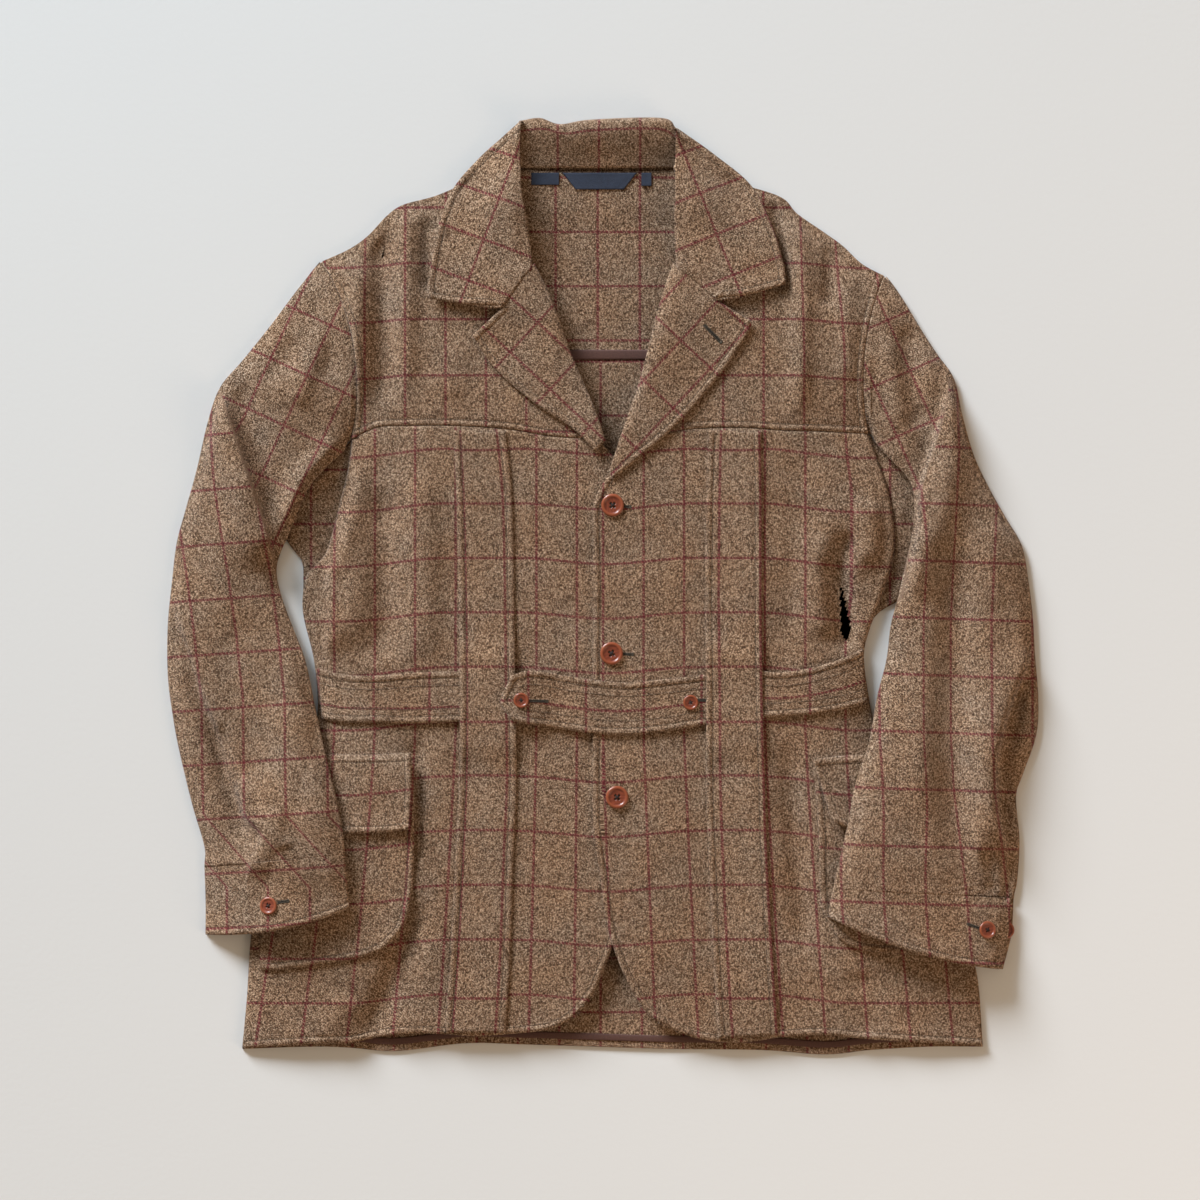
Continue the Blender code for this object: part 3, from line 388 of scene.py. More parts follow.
def side_x(points, y):
    """x of a side seam at each y."""
    fine = along(points, 240)[::-1]
    return np.interp(y, fine[:, 1], fine[:, 0])


def folds(table, x, y):
    """Soft ridges and troughs that fade at both ends."""
    height = np.zeros_like(x)
    for x0, y0, x1, y1, width, tall in table:
        run = np.array([x1 - x0, y1 - y0], float)
        length = np.hypot(*run)
        run /= length
        t = ((x - x0) * run[0] + (y - y0) * run[1]) / length
        off = (x - x0) * run[1] - (y - y0) * run[0]
        fade = smooth(t / 0.25 + 0.5) * smooth((1 - t) / 0.25 + 0.5)
        height += tall * np.exp(-((off / width) ** 2)) * fade
    return height


def neck_lift(x, y):
    return NECK_LIFT * smooth((122 - abs(x)) / 32) * smooth((y - 318) / 26)


def yoke_inside(x, y):
    """Inner face of the back yoke, over the collar's fall."""
    return CLOTH + 0.85 * neck_lift(x, y)


def inside(x, y):
    """Distance inside the body's side and shoulder edges; outside is negative."""
    near = np.minimum.reduce(
        [distance(c, x, y) for c in (SIDE_R, SIDE_L, SHOULDER_R, SHOULDER_L)]
    )
    right = side_x(SIDE_R, y)
    left = side_x(SIDE_L, y)
    out = (y < 131) & ((x < right) | (x > left))
    shoulder = along(SHOULDER_R, 60)
    other = along(SHOULDER_L, 60)[::-1]
    top_r = np.interp(x, shoulder[:, 0], shoulder[:, 1])
    top_l = np.interp(x, other[:, 0], other[:, 1])
    top = np.where(x < 0, top_r, top_l)
    out |= (y > top) & (y > 270)
    return np.where(out, -near, near)


def body(x, y):
    """Outer face of the fronts and yokes."""
    d = np.clip(inside(x, y), 0, None)
    flat = np.interp(y, FLAT_Y, FLAT_Z)
    lip = 1.5 * smooth(d / 16)
    rise = (flat - EDGE - 1.5) * (1 - (1 - np.clip(d / ROUND, 0, 1)) ** 2.1)
    crease = folds(BODY_FOLDS, x, y) * smooth((d - 4) / 22)
    return EDGE + lip + rise + crease + neck_lift(x, y)


def lap(x, y):
    """How far the left front stands above the right one that it laps over."""
    return (LAYER + 0.3) * smooth((102 - x) / 68) * smooth((190 - y) / 52)


def left_front(x, y):
    return body(x, y) + lap(x, y)


def over_fronts(x, y):
    """On the right front at -X, and on the left front with its lap at +X."""
    return body(x, y) + lap(x, y) * (x > 0)


def fronts(x, y):
    """Over both fronts, ramped up to the left one's edge."""
    return body(x, y) + lap(x, y) * smooth((x + 42) / 28)


def belt_band(y, edge=6, ramp=24):
    """1 across the belt, fading above and below it."""
    return smooth((-70 + edge + ramp - y) / ramp) * smooth((y + 135 + edge + ramp) / ramp)


def pleat(x, y):
    return over_fronts(x, y) + LAYER + (LAYER + BELT_AIR) * belt_band(y)


def belt_side(x, y):
    return body(x, y) + LAYER + BELT_AIR


def belt(x, y):
    """Over the right pleat at its tip and over the fronts, then under the left pleat."""
    over = LAYER * 2.0 * smooth((-40 - x) / 34)
    return fronts(x, y) + LAYER + BELT_AIR + over


def pocket(x, y):
    return body(x, y) + LAYER


def flap(x, y):
    """Over the pocket, and down to the front along its sewn top."""
    return body(x, y) + LAYER * (1 + smooth((-149.5 - y) / 7))


def lapel_roll(u):
    """Roll of a lapel across its width: 0 at its edge, 1 at its fold."""
    return 5.5 * smooth(u / 0.9) * (1 - smooth((u - 0.86) / 0.2))


def upward(points):
    """A table that runs down, or a seam that runs out, the other way round."""
    return points[::-1]


def at_steps(points, steps):
    fine = along(points, 400)
    at = np.linspace(0, 1, 400)
    return np.stack([np.interp(steps, at, fine[:, k]) for k in (0, 1)], 1)


def section(table, u, v):
    """Places on a sleeve seen from above: u from outer to inner edge, v down it."""
    rows = np.array(table, float)
    fine = along(rows, 300, even=False)
    at = np.linspace(0, 1, 300)
    row = np.stack([np.interp(v, at, column) for column in fine.T], -1)
    ox, oy, ix, iy, bow, puff = np.moveaxis(row, -1, 0)
    run = np.stack([ix - ox, iy - oy], -1)
    width = np.linalg.norm(run, axis=-1)
    across = np.stack([-run[..., 1], run[..., 0]], -1) / width[..., None]
    bend = (bow * 4 * u * (1 - u))[..., None]
    place = np.stack([ox, oy], -1) + u[..., None] * run + bend * across
    return place, width, puff


def seam_step(table):
    return (len(table) - 1 - CUFF_ROWS) / (len(table) - 1)


def armhole(table, count, start=0.0):
    """Armhole seam from the shoulder, or from part way down, to the armpit."""
    u = np.linspace(start, 1, count)
    return section(table, u, np.zeros(count))[0]


def side_ramp(table, x, y):
    """Distance inside the body's side seam, for a sleeve that lies over it."""
    curve = BACK_SIDE_R if table is SLEEVE_R else BACK_SIDE_L
    sign = -1 if table is SLEEVE_R else 1
    out = sign * (x - side_x(curve, np.clip(y, -420, 131)))
    return -np.sign(out) * distance(curve, x, y)


def carried(table, x, y):
    """Top of whatever lies under a sleeve: the floor, or the body and its trim."""
    s = side_ramp(table, x, y)
    on_body = body(x, y)
    one = smooth((-40 - y) / 34)
    two = smooth((-92 - y) / 32) * smooth((y + 282) / 36)
    trim = LAYER * (one + two)
    over = on_body + trim + SLEEVE_AIR
    beside = (EDGE + trim + SLEEVE_AIR) * smooth(1 + s / (30 + 6 * trim))
    return np.where(s > 0, over, beside)


def lower_sleeve(table, u, v):
    """Inner face of a sleeve's lower side, which rests on the floor or the body."""
    place = section(table, u, v)[0]
    away = smooth(v / 0.16)
    return place, CLOTH + away * carried(table, place[..., 0], place[..., 1])


def cuff_lap(table, u):
    """How far a cuff's button end stands over its other end."""
    if table is SLEEVE_R:
        return CUFF_LAP * (1 - smooth((u - PLACKET - 0.14) / 0.4))
    return 1.5 * CUFF_LAP * (1 - smooth((u - 0.05) / 0.35))


def upper_sleeve(table, u, v, extra=0.0):
    """Outer face of a sleeve's upper side."""
    place, width, puff = section(table, u, v)
    low = lower_sleeve(table, u, v)[1]
    at_seam = section(table, u, np.zeros_like(v))[0]
    seam = body(at_seam[..., 0], at_seam[..., 1])
    away = smooth(v / 0.22)
    d = np.minimum(u, 1 - u) * width
    dome = puff * (0.35 * smooth(d / 14) + 0.65 * (1 - (1 - np.clip(d / 62, 0, 1)) ** 2))
    crease = folds(SLEEVE_FOLDS, place[..., 0], place[..., 1]) * smooth((d - 3) / 16)
    own = low + CLOTH + SLEEVE_LIP + dome + crease * smooth((v - 0.03) / 0.1)
    return place, (1 - away) * (seam + low - CLOTH) + away * own + extra


# Finer folds of the cloth: a line that runs down, half widths left and right of it, height
BODY_CREASES = (
    (((-222, 116), (-236, 68), (-256, 16)), 12, 12, 6.0),
    (((-196, 92), (-193, 20), (-197, -70)), 14, 15, -8.0),
    (((-226, 70), (-224, 0), (-232, -60)), 13, 11, 4.0),
    (((-160, 110), (-157, 20), (-158, -70)), 12, 16, 4.8),
    (((-166, -132), (-166, -190), (-168, -252)), 7, 10, -4.8),
    (((-168, -280), (-188, -350), (-214, -412)), 14, 12, -8.0),
    (((-228, -366), (-250, -408)), 16, 14, 4.4),
    (((-120, -140), (-124, -300), (-130, -400)), 22, 20, -1.9),
    (((223, 50), (214, 12), (219, -30), (222, -60)), 8, 16, -11.0),
    (((198, 50), (199, 0), (200, -50)), 12, 14, 4.8),
    (((240, 76), (244, 48), (238, 20)), 14, 12, 5.2),
    (((-233, 80), (-241, 30), (-246, 4), (-244, -34), (-250, -66)), 13, 3, 6.5),
    (((240, 110), (250, 87), (255, 60), (256, 37), (252, 22)), 2.5, 2.5, -2.1),
    (((180, 128), (176, 40), (170, -60)), 16, 14, -4.4),
    (((136, 120), (138, 0), (136, -60)), 14, 16, 2.2),
    (((166, -136), (174, -230), (184, -330)), 10, 12, -5.2),
    (((140, -150), (150, -300), (160, -400)), 22, 18, 2.2),
    (((232, -345), (240, -405)), 18, 18, -3.6),
    (((-200, 332), (-199, 250), (-201, 160)), 11, 11, -8.4),
    (((-178, 340), (-176, 250), (-176, 170)), 9, 10, 5.6),
    (((-221, 290), (-219, 170)), 8, 8, 4.4),
    (((-157, 332), (-156, 262)), 9, 8, -6.4),
    (((-128, 222), (-136, 168)), 14, 14, 2.6),
    (((155, 366), (158, 262)), 10, 10, -8.0),
    (((176, 342), (180, 250), (176, 152)), 9, 10, 6.0),
    (((204, 308), (203, 250)), 8, 7, -5.2),
    (((222, 290), (218, 180)), 9, 9, 3.6),
)
BACK_CREASES = (
    (((-238, 108), (-254, 95), (-272, 72)), 5, 6, 3.4),
    (((-241, 86), (-254, 70), (-266, 46)), 5, 5, 2.8),
    (((-248, 60), (-262, 40)), 4, 4, 2.2),
    (((250, 108), (262, 92), (271, 62)), 5, 5, 3.2),
    (((262, 78), (268, 50), (264, 22)), 4, 4, 2.6),
)
SLEEVE_CREASES = {
    "r": (
        (((-348, 184), (-336, 156), (-322, 114), (-311, 82), (-300, 46), (-293, 16)), 2.8, 34, 10.2),
        (((-333, 190), (-316, 140), (-304, 96), (-292, 56)), 9, 9, -5.8),
        (((-240, 134), (-256, 108), (-271, 82), (-283, 54)), 7, 13, 6.5),
        (((-262, 266), (-248, 228), (-243, 186)), 10, 12, -3.6),
        (((-246, 236), (-262, 196), (-276, 160)), 10, 10, 4.3),
        (((-272, 224), (-300, 182)), 9, 9, -3.8),
        (((-330, -170), (-320, -203), (-304, -222), (-313, -246), (-318, -262)), 20, 3.5, 7.2),
        (((-342, -120), (-333, -170), (-327, -205), (-320, -232)), 5, 9, -5.8),
        (((-386, -8), (-372, -49), (-355, -102), (-340, -141), (-331, -190)), 14, 2.6, 6.4),
        (((-391, -18), (-378, -54), (-361, -104), (-347, -143), (-339, -186)), 4, 7, -3.6),
        (((-296, -200), (-284, -236)), 8, 8, 3.8),
        (((-330, -20), (-318, -100), (-300, -180)), 18, 22, -3.5),
        (((-286, -60), (-276, -150), (-262, -230)), 16, 16, 2.3),
    ),
    "l": (
        (((311, 186), (306, 151), (297, 122), (286, 86), (280, 62), (273, 17), (268, -12)), 36, 3, 9.4),
        (((272, 236), (279, 180), (286, 140)), 10, 10, -6.1),
        (((254, 226), (262, 180), (268, 140)), 8, 10, 3.8),
        (((300, 226), (306, 196)), 9, 9, 3.2),
        (((318, 46), (318, -60), (319, -150), (321, -236), (329, -282)), 13, 15, -8.2),
        (((292, 30), (290, -80), (284, -200)), 14, 16, 3.2),
        (((386, -56), (366, -103), (354, -144), (351, -178), (354, -210), (363, -246)), 2.4, 26, 11.5),
        (((384, -76), (367, -124), (361, -174), (366, -226)), 7, 5, -4.2),
        (((350, 60), (352, -20)), 14, 16, 2.9),
        (((344, -236), (352, -276)), 5, 5, -4.3),
        (((366, -244), (362, -286)), 4, 5, -3.8),
    ),
}

CHECK_X = 36.3  # between the windowpane's upright lines
CHECK_Y = 49.0  # and its level ones
STITCH_IN = 6.0  # topstitching, in from a turned edge
FLAP_ROW = 7.0  # and in from a flap's sewn top
BELT_ROWS = (STITCH_IN, 12.5)  # the belt has a second row
STITCH_LONG = 2.7
STITCH_EVERY = 3.4
THREAD = 0.34  # radius
TWIST = (0.30, 5, 0.3)  # a buttonhole's thread: radius, sides and bow
# The dark bar in each buttonhole's slit, painted shade in the gap: radius, sides and bow
SLIT = (0.30, 6, 0.0)
TWIST_EVERY = 0.62
BELT_WIDE = 46
POCKET_CHECK_UP = 9.0  # how far a pocket's level lines lie below its front's
LEAST_AIR = 0.15  # under whatever lies on the floor
UNEVEN = ((74, 1.2), (31, 0.75), (13, 0.2), (6, 0.06))  # the cloth's lumps: size and height
# How far the free edges stand off what they lie on
STANDS = {
    "front": 0.9, "side": 3.4, "belt": 0.7, "pocket": 0.8, "flap": 3.0,
    "lapel": 1.5, "collar": 2.0, "cuff": 1.2,
}


def value_at(table, x, y):
    """Smooth lattice noise from a table of numbers, about -1 to 1."""
    i, j = np.floor(x).astype(int), np.floor(y).astype(int)
    s, t = smooth(x - i), smooth(y - j)
    n = len(table)
    a = table[i % n, j % n] * (1 - s) + table[(i + 1) % n, j % n] * s
    b = table[i % n, (j + 1) % n] * (1 - s) + table[(i + 1) % n, (j + 1) % n] * s
    return a * (1 - t) + b * t


LATTICE = np.random.default_rng(7).uniform(-1, 1, (64, 64))  # for the cloth's lumps


def lumps(x, y, shift=0.0):
    """Uneven lie of thick cloth, in millimetres."""
    height = 0.0
    for size, tall in UNEVEN:
        height = height + tall * value_at(LATTICE, x / size + shift + size, y / size - shift)
    return height


def creases(table, x, y):
    """Folds that differ on their two sides."""
    height = np.zeros_like(x)
    for points, left, right, tall in table:
        line = along(points, 60)
        reach = 3 * max(left, right)
        near = (x > line[:, 0].min() - reach) & (x < line[:, 0].max() + reach)
        near &= (y > line[:, 1].min() - reach) & (y < line[:, 1].max() + reach)
        if not near.any():
            continue
        px, py = x[near], y[near]
        apart = np.hypot(px[:, None] - line[:, 0], py[:, None] - line[:, 1])
        k = apart.argmin(1)
        way = np.gradient(line, axis=0)[k]
        side = way[:, 0] * (py - line[k, 1]) - way[:, 1] * (px - line[k, 0])
        wide = np.where(side > 0, left, right)
        t = k / 59
        ends = smooth(t / 0.22 + 0.25) * smooth((1 - t) / 0.22 + 0.25)
        height[near] += tall * np.exp(-((apart.min(1) / wide) ** 2)) * ends
    return height


def curl(d, tall, wide=11.0):
    """How a free edge stands off what it lies on."""
    return tall * np.exp(-((d / wide) ** 2))


def rim(d, at=STITCH_IN, full=0.6, stands=0.0):
    """A turned edge: rounded, full up to its stitch line, and pulled down there."""
    rounded = -1.1 * np.clip(1 - d / 1.8, 0, 1) ** 2
    roll = full * np.exp(-(((d - 0.52 * at) / (0.36 * at)) ** 2))
    return rounded + roll + groove(d - at, 0.65) + curl(d, stands)


def groove(d, deep, wide=1.0):
    """A line pulled down into the cloth."""
    return -deep * np.exp(-((d / wide) ** 2))


def edge_steps(width, near=True, far=True, pitch=3.6):
    """Steps over a width: close together over its stitched rims, even between."""
    close = np.array([0, 0.5, 1.1, 1.9, 3.1, 4.3, 5.2, 6.0, 6.8, 7.8])
    start = close if near else np.array([0.0])
    stop = (width - close)[::-1] if far else np.array([float(width)])
    room = stop[0] - start[-1]
    even = np.linspace(start[-1], stop[0], max(2, round(room / pitch) + 1))[1:-1]
    return np.concatenate([start, even, stop]) / width


def patch(left, right, foot, top, us, vs):
    """A grid between four edges. left and right run up, foot and top run right."""
    west, east = (at_steps(edge, vs)[:, None] for edge in (left, right))
    south, north = (at_steps(edge, us)[None] for edge in (foot, top))
    u, v = us[None, :, None], vs[:, None, None]
    corners = (
        (1 - u) * (1 - v) * west[:1] + u * (1 - v) * east[:1]
        + (1 - u) * v * west[-1:] + u * v * east[-1:]
    )
    return (1 - u) * west + u * east + (1 - v) * south + v * north - corners


def in_scene(name, data):
    """A new object in the scene."""
    item = bpy.data.objects.new(name, data)
    bpy.context.scene.collection.objects.link(item)
    return item


def shell(node, points, check, wall=CLOTH, material=None, slot="tweed"):
    """A wall under a grid of places in millimetres, in the place of a solid."""
    rows, columns = points.shape[:2]
    if node != "collar_back":  # the collar's fall lies face down
        points[..., 2] = np.maximum(points[..., 2], wall + LEAST_AIR)
    index = np.arange(rows * columns).reshape(rows, columns)
    quads = np.stack([index[:-1, :-1], index[:-1, 1:], index[1:, 1:], index[1:, :-1]], -1)
    middle = columns // 2
    across = points[0, middle] - points[0, middle - 1]
    up = points[1, middle] - points[0, middle]
    if across[0] * up[1] - across[1] * up[0] < 0:
        quads = quads[..., ::-1]
    mesh = bpy.data.meshes.new(node + "_cloth")
    mesh.from_pydata(points.reshape(-1, 3) * MM, [], quads.reshape(-1, 4).tolist())
    layer = mesh.uv_layers.new(name="cloth")
    corner = np.zeros(len(mesh.loops), int)
    mesh.loops.foreach_get("vertex_index", corner)
    layer.data.foreach_set("uv", check.reshape(-1, 2)[corner].ravel().astype(np.float32))
    mesh.shade_smooth()
    piece = in_scene(node + "_cloth", mesh)
    piece.location = SHIFT
    mesh.materials.append(material or TWEED)
    thick = piece.modifiers.new("wall", "SOLIDIFY")
    thick.thickness = wall * MM
    thick.offset = -1
    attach(piece, "root")
    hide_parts(node)
    SURFACES[node] = (points, quads.reshape(-1, 4))
    return piece


# Where the tables' origin lies in the frame, by the lowest front button
LOW_X, LOW_Y = 13, -189
low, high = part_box("button_front_low")
middle = Vector(low + high) / 2
SHIFT = Vector((middle.x - LOW_X * MM, middle.y - LOW_Y * MM, 0))
SURFACES = {}  # each piece's outer points and faces
SEWN_TOP = {}  # each lapel's heights along its seam to the collar


# Windowpane: places on a piece to counts of lines across and along it

def body_check(x, y):
    down = np.clip((-130 - y) / 290, 0, 1)
    lean = np.where(x > 0, 9.5 + 0.05 * x, -2.5 + 0.115 * (x + 22)) * down ** 1.1
    drop = 5.5 * smooth(1 - abs(x - 4) / 78) + 8 * smooth((abs(x) - 140) / 90)
    side = 9 * smooth((x - 190) / 60) * smooth((140 - y) / 60) * smooth((y + 60) / 60)
    return (x - lean - 0.6 - side) / CHECK_X, (y + drop - 25.6) / CHECK_Y


def right_check(x, y):
    """The right front's lines lie apart from the left one's."""
    across, down = body_check(x, y)
    return across + 23.6 / CHECK_X, down


def yoke_check(x, y):
    out = 10 * smooth((y - 200) / 130) * smooth((x - 150) / 80)
    start = np.where(x < 0, -140.9, 180.9 - out)
    return (x - start) / CHECK_X, (y - 189.5 + 4 * smooth((abs(x) - 170) / 60)) / 50.4


def inside_check(x, y):
    return (x + 4.3) / 37.9, (y - 270.2) / 48.8


def back_check(x, y):
    return (x + 1.7) / 37.2, (y + 383.0) / 48.8


def turned(x, y, at, degrees, wide=CHECK_X, long=CHECK_Y):
    """Cloth cut at an angle, with a crossing of its lines at a place."""
    a = math.radians(degrees)
    dx, dy = x - at[0], y - at[1]
    return (dx * math.cos(a) + dy * math.sin(a)) / wide, (dy * math.cos(a) - dx * math.sin(a)) / long


# The pleats' level lines
PLEAT_Y = (
    -418, -370, -316.7, -267.7, -218.6, -169.5, -121.5, -71.9, -23.1, 25.6, 74.4, 122.3, 172,
)


def pleat_check(u, y, first, second):
    return (u - first) / (second - first), np.interp(y, PLEAT_Y, np.arange(len(PLEAT_Y)))


SLEEVE_LINE = {  # one upright line of the lower sleeve: y, x
    "r": (
        (-270, -262), (-205, -321), (-157, -322), (-101, -322.6), (-41, -329),
        (14.4, -336.6), (60, -344), (94, -348.8), (141, -352),
    ),
    "l": (
        (-340, 331.6), (-270, 326), (-185, 315.5), (-136, 312.6), (-31, 312.6),
        (60, 316.7), (124, 319.8), (154, 319),
    ),
}
# The left sleeve's lines aren't even: how far each lies from that one, and its count
UNEVEN_LINES = ((-214, -101, -64, -24.3, 0, 36.4, 74, 187), (-6, -3, -2, -1, 0, 1, 2, 5))
ELBOW_FOLD = {
    "r": ((-348, 182), (-336, 156), (-322, 114), (-311, 82), (-300, 46), (-294, 18)),
    "l": ((311, 184), (306, 151), (297, 122), (286, 86), (280, 62), (273, 17), (268, -12)),
}


def sleeve_check(side, x, y):
    """Lines of the lower sleeve, then above the elbow's fold those of the upper."""
    table = np.array(sorted(SLEEVE_LINE[side]))
    line = np.interp(y, table[:, 0], table[:, 1])
    fold = np.array(ELBOW_FOLD[side])[::-1]
    at_fold = np.interp(y, fold[:, 1], fold[:, 0])
    cu = (x - line) / 37.6
    if side == "r":
        cv = (y - 0.07 * (x + 375) + 13.4) / 49.3
        upper = turned(x, y, (-265, 189.5), -25, 36.5, 49.5)
        over = ((x > at_fold) | (y > 182)) & (y > 12)
    else:
        uneven = np.interp(x - line, *UNEVEN_LINES)
        cu += (uneven - cu) * smooth((y + 290) / 120) * smooth((140 - y) / 120)
        cv = (y + 0.035 * (x - 300) + 28.5) / 51.3
        upper = turned(x, y, (276.3, 194), 24, 35.0, 49.5)
        over = ((x < at_fold) | (y > 184)) & (y > -12)
    return np.where(over, upper[0], cu), np.where(over, upper[1], cv)


def flat_check(function, plan):
    return np.stack(function(plan[..., 0], plan[..., 1]), -1)


def raised(plan, height):
    """The plan's places with their heights."""
    return np.concatenate([plan, height[..., None]], -1)


def dressed(node, plan, height, check, rests_on, *cloth):
    """A laid piece from its plan, its heights and its lines."""
    shell(node, raised(plan, height), check, *cloth)


def build_back():
    u = np.linspace(0, 1, 200)
    splits = []
    for table in (SLEEVE_R, SLEEVE_L):
        hole = section(table, u, np.zeros(200))[0]
        splits.append(np.interp(BACK_SEAM_Y, hole[::-1, 1], u[::-1]))
    left = np.vstack([armhole(SLEEVE_R, 6, splits[0]), along(TUCKED_R, 44)[1:]])[::-1]
    right = np.vstack([armhole(SLEEVE_L, 6, splits[1]), along(TUCKED_L, 44)[1:]])[::-1]
    left[0], right[0] = BACK_HEM[0], BACK_HEM[-1]
    low_r, low_l = left[-1], right[-1]
    low_r[1] = low_l[1] = BACK_SEAM_Y - SEAM
    across = edge_steps(660, False, False, 7)
    plan = patch(left, right, BACK_HEM, (low_r, low_l), across, edge_steps(620, True, False, 7))
    x, y = plan[..., 0], plan[..., 1]
    height = CLOTH + 0 * x + 0.5 * np.clip(lumps(x, y), -0.6, 1) * smooth((y + 440) / 60)
    height += creases(BACK_CREASES, x, y)
    dressed("back", plan, height, flat_check(back_check, plan), ["floor"])
    left, right = armhole(SLEEVE_R, 12), armhole(SLEEVE_L, 12)
    left = left[left[:, 1] > BACK_SEAM_Y + 4][::-1]
    right = right[right[:, 1] > BACK_SEAM_Y + 4][::-1]
    left = np.vstack([[low_r[0], BACK_SEAM_Y], left])
    right = np.vstack([[low_l[0], BACK_SEAM_Y], right])
    top = np.vstack([SHOULDER_R, BACK_NECK[1:-1], SHOULDER_L[::-1]])
    plan = patch(
        left, right, (left[0], right[0]), top,
        edge_steps(480, False, False, 5), edge_steps(170, True, False, 5),
    )
    x, y = plan[..., 0], plan[..., 1]
    height = yoke_inside(x, y) + 0.6 * np.clip(lumps(x, y), -0.4, 1.2)
    height += 0.5 * np.exp(-(((y - BACK_SEAM_Y - 3) / 3) ** 2))
    dressed("back_yoke", plan, height, flat_check(inside_check, plan), ["floor"])


def front_relief(x, y, stitched, plain=()):
    """What sewing and wear add to a front or a yoke."""
    d = np.clip(inside(x, y), 0, None)
    height = (lumps(x, y) + creases(BODY_CREASES, x, y)) * smooth((d - 2) / 16)
    for curve in stitched:
        free = any(curve is edge for edge in (EDGE_L, EDGE_R, HEM_L, HEM_R))
        height += rim(distance(curve, x, y), stands=STANDS["front"] if free else 0.0)
    for curve in plain:
        height += groove(distance(curve, x, y), 0.5, 1.6)
    for side in (SIDE_R[:9], SIDE_L[:8]):
        d = distance(side, x, y)
        height += curl(d, STANDS["side"], 9.0) - 2.4 * np.clip(1 - d / 2.6, 0, 1) ** 2
    return height


def sewn_panel(node, plan, height_at, stitched, plain, check, rests_on):
    """A front or a yoke, with rims along its stitched edges and grooves along plain ones."""
    x, y = plan[..., 0], plan[..., 1]
    height = height_at(x, y) + front_relief(x, y, stitched, plain)
    dressed(node, plan, height, flat_check(check, plan), rests_on)


def build_fronts():
    tall = edge_steps(545, True, False, 2.8)
    wide = edge_steps(290, False, pitch=2.8)
    plan = patch(upward(SIDE_R), upward(EDGE_R), HEM_R, YOKE_SEAM_R, wide, tall)
    sewn_panel("front_r", plan, body, (EDGE_R, HEM_R), (YOKE_SEAM_R,), right_check, ["back_cloth"])
    wide = edge_steps(300, True, False, 2.8)
    plan = patch(
        upward(EDGE_L), upward(SIDE_L), upward(HEM_L), upward(YOKE_SEAM_L), wide, tall,
    )
    sewn_panel("front_l", plan, left_front, (EDGE_L, HEM_L), (YOKE_SEAM_L,), body_check,
               ["front_r_cloth", "back_cloth"])
    hole_r, hole_l = armhole(SLEEVE_R, 24)[::-1], armhole(SLEEVE_L, 24)[::-1]
    wide, tall = edge_steps(215, pitch=2.6), edge_steps(190, pitch=2.6)
    over = np.array([0, SEAM])
    edges = (hole_r, upward(NECK_R), YOKE_SEAM_R, SHOULDER_R)
    plan = patch(*(edge + over for edge in edges), wide, tall)
    sewn_panel("yoke_r", plan, body, (YOKE_SEAM_R, hole_r), (NECK_R,), yoke_check,
               ["back_yoke_cloth"])
    edges = (upward(NECK_L), hole_l, upward(YOKE_SEAM_L), upward(SHOULDER_L))
    plan = patch(*(edge + over for edge in edges), wide, tall)
    sewn_panel("yoke_l", plan, left_front, (YOKE_SEAM_L, hole_l), (NECK_L,), yoke_check,
               ["back_yoke_cloth"])


def build_pleats():
    us = edge_steps(50, True, True, 3)
    vs = edge_steps(542, False, False, 3.2)
    for side, west, east, first, second in (
        ("r", PLEAT_OUTER_R, PLEAT_INNER_R, 0.13, 0.83),
        ("l", PLEAT_INNER_L, PLEAT_OUTER_L, 0.24, 0.97),
    ):
        west, east = upward(west), upward(east)
        plan = patch(west, east, (west[0], east[0]), (west[-1], east[-1]), us, vs)
        x, y = plan[..., 0], plan[..., 1]
        height = pleat(x, y) + lumps(x, y) + creases(BODY_CREASES, x, y)
        for curve in (west, east):
            height += rim(distance(curve, x, y))
        u = np.broadcast_to(us, x.shape)
        check = np.stack(pleat_check(u, y, first, second), -1)
        dressed(f"pleat_{side}", plan, height, check, [f"front_{side}_cloth"])


def belt_check(x, v, at, pitch, middle):
    return (v - middle) * BELT_WIDE / CHECK_X, (x - at) / pitch


def build_belt():
    vs = edge_steps(BELT_WIDE, True, True, 2.6)
    for node, foot, top, height_at, at, pitch, middle, under in (
        ("belt_r", BELT_R_FOOT, BELT_R_TOP, belt_side, -155.3, 50, 0.30, "front_r"),
        ("belt_front", BELT_FOOT, BELT_TOP, belt, -14.8, 51.8, 0.46, "front_l"),
        ("belt_l", BELT_L_FOOT, BELT_L_TOP, belt_side, 186.3, 54, 0.42, "front_l"),
    ):
        pointed = node == "belt_front"
        west = upward(BELT_TIP) if pointed else (foot[0], top[0])
        us = edge_steps(abs(foot[-1][0] - foot[0][0]), pointed, False, 3)
        plan = patch(west, (foot[-1], top[-1]), foot, top, us, vs)
        x, y = plan[..., 0], plan[..., 1]
        height = height_at(x, y) + 0.9 * lumps(x, y)
        for curve in (foot, top, BELT_TIP)[:3 if pointed else 2]:
            d = distance(curve, x, y)
            height += rim(d, stands=STANDS["belt"]) + groove(d - BELT_ROWS[1], 0.45)
        v = np.broadcast_to(vs[:, None], x.shape)
        check = np.stack(belt_check(x, v, at, pitch, middle), -1)
        dressed(node, plan, height, check, [f"{under}_cloth"])


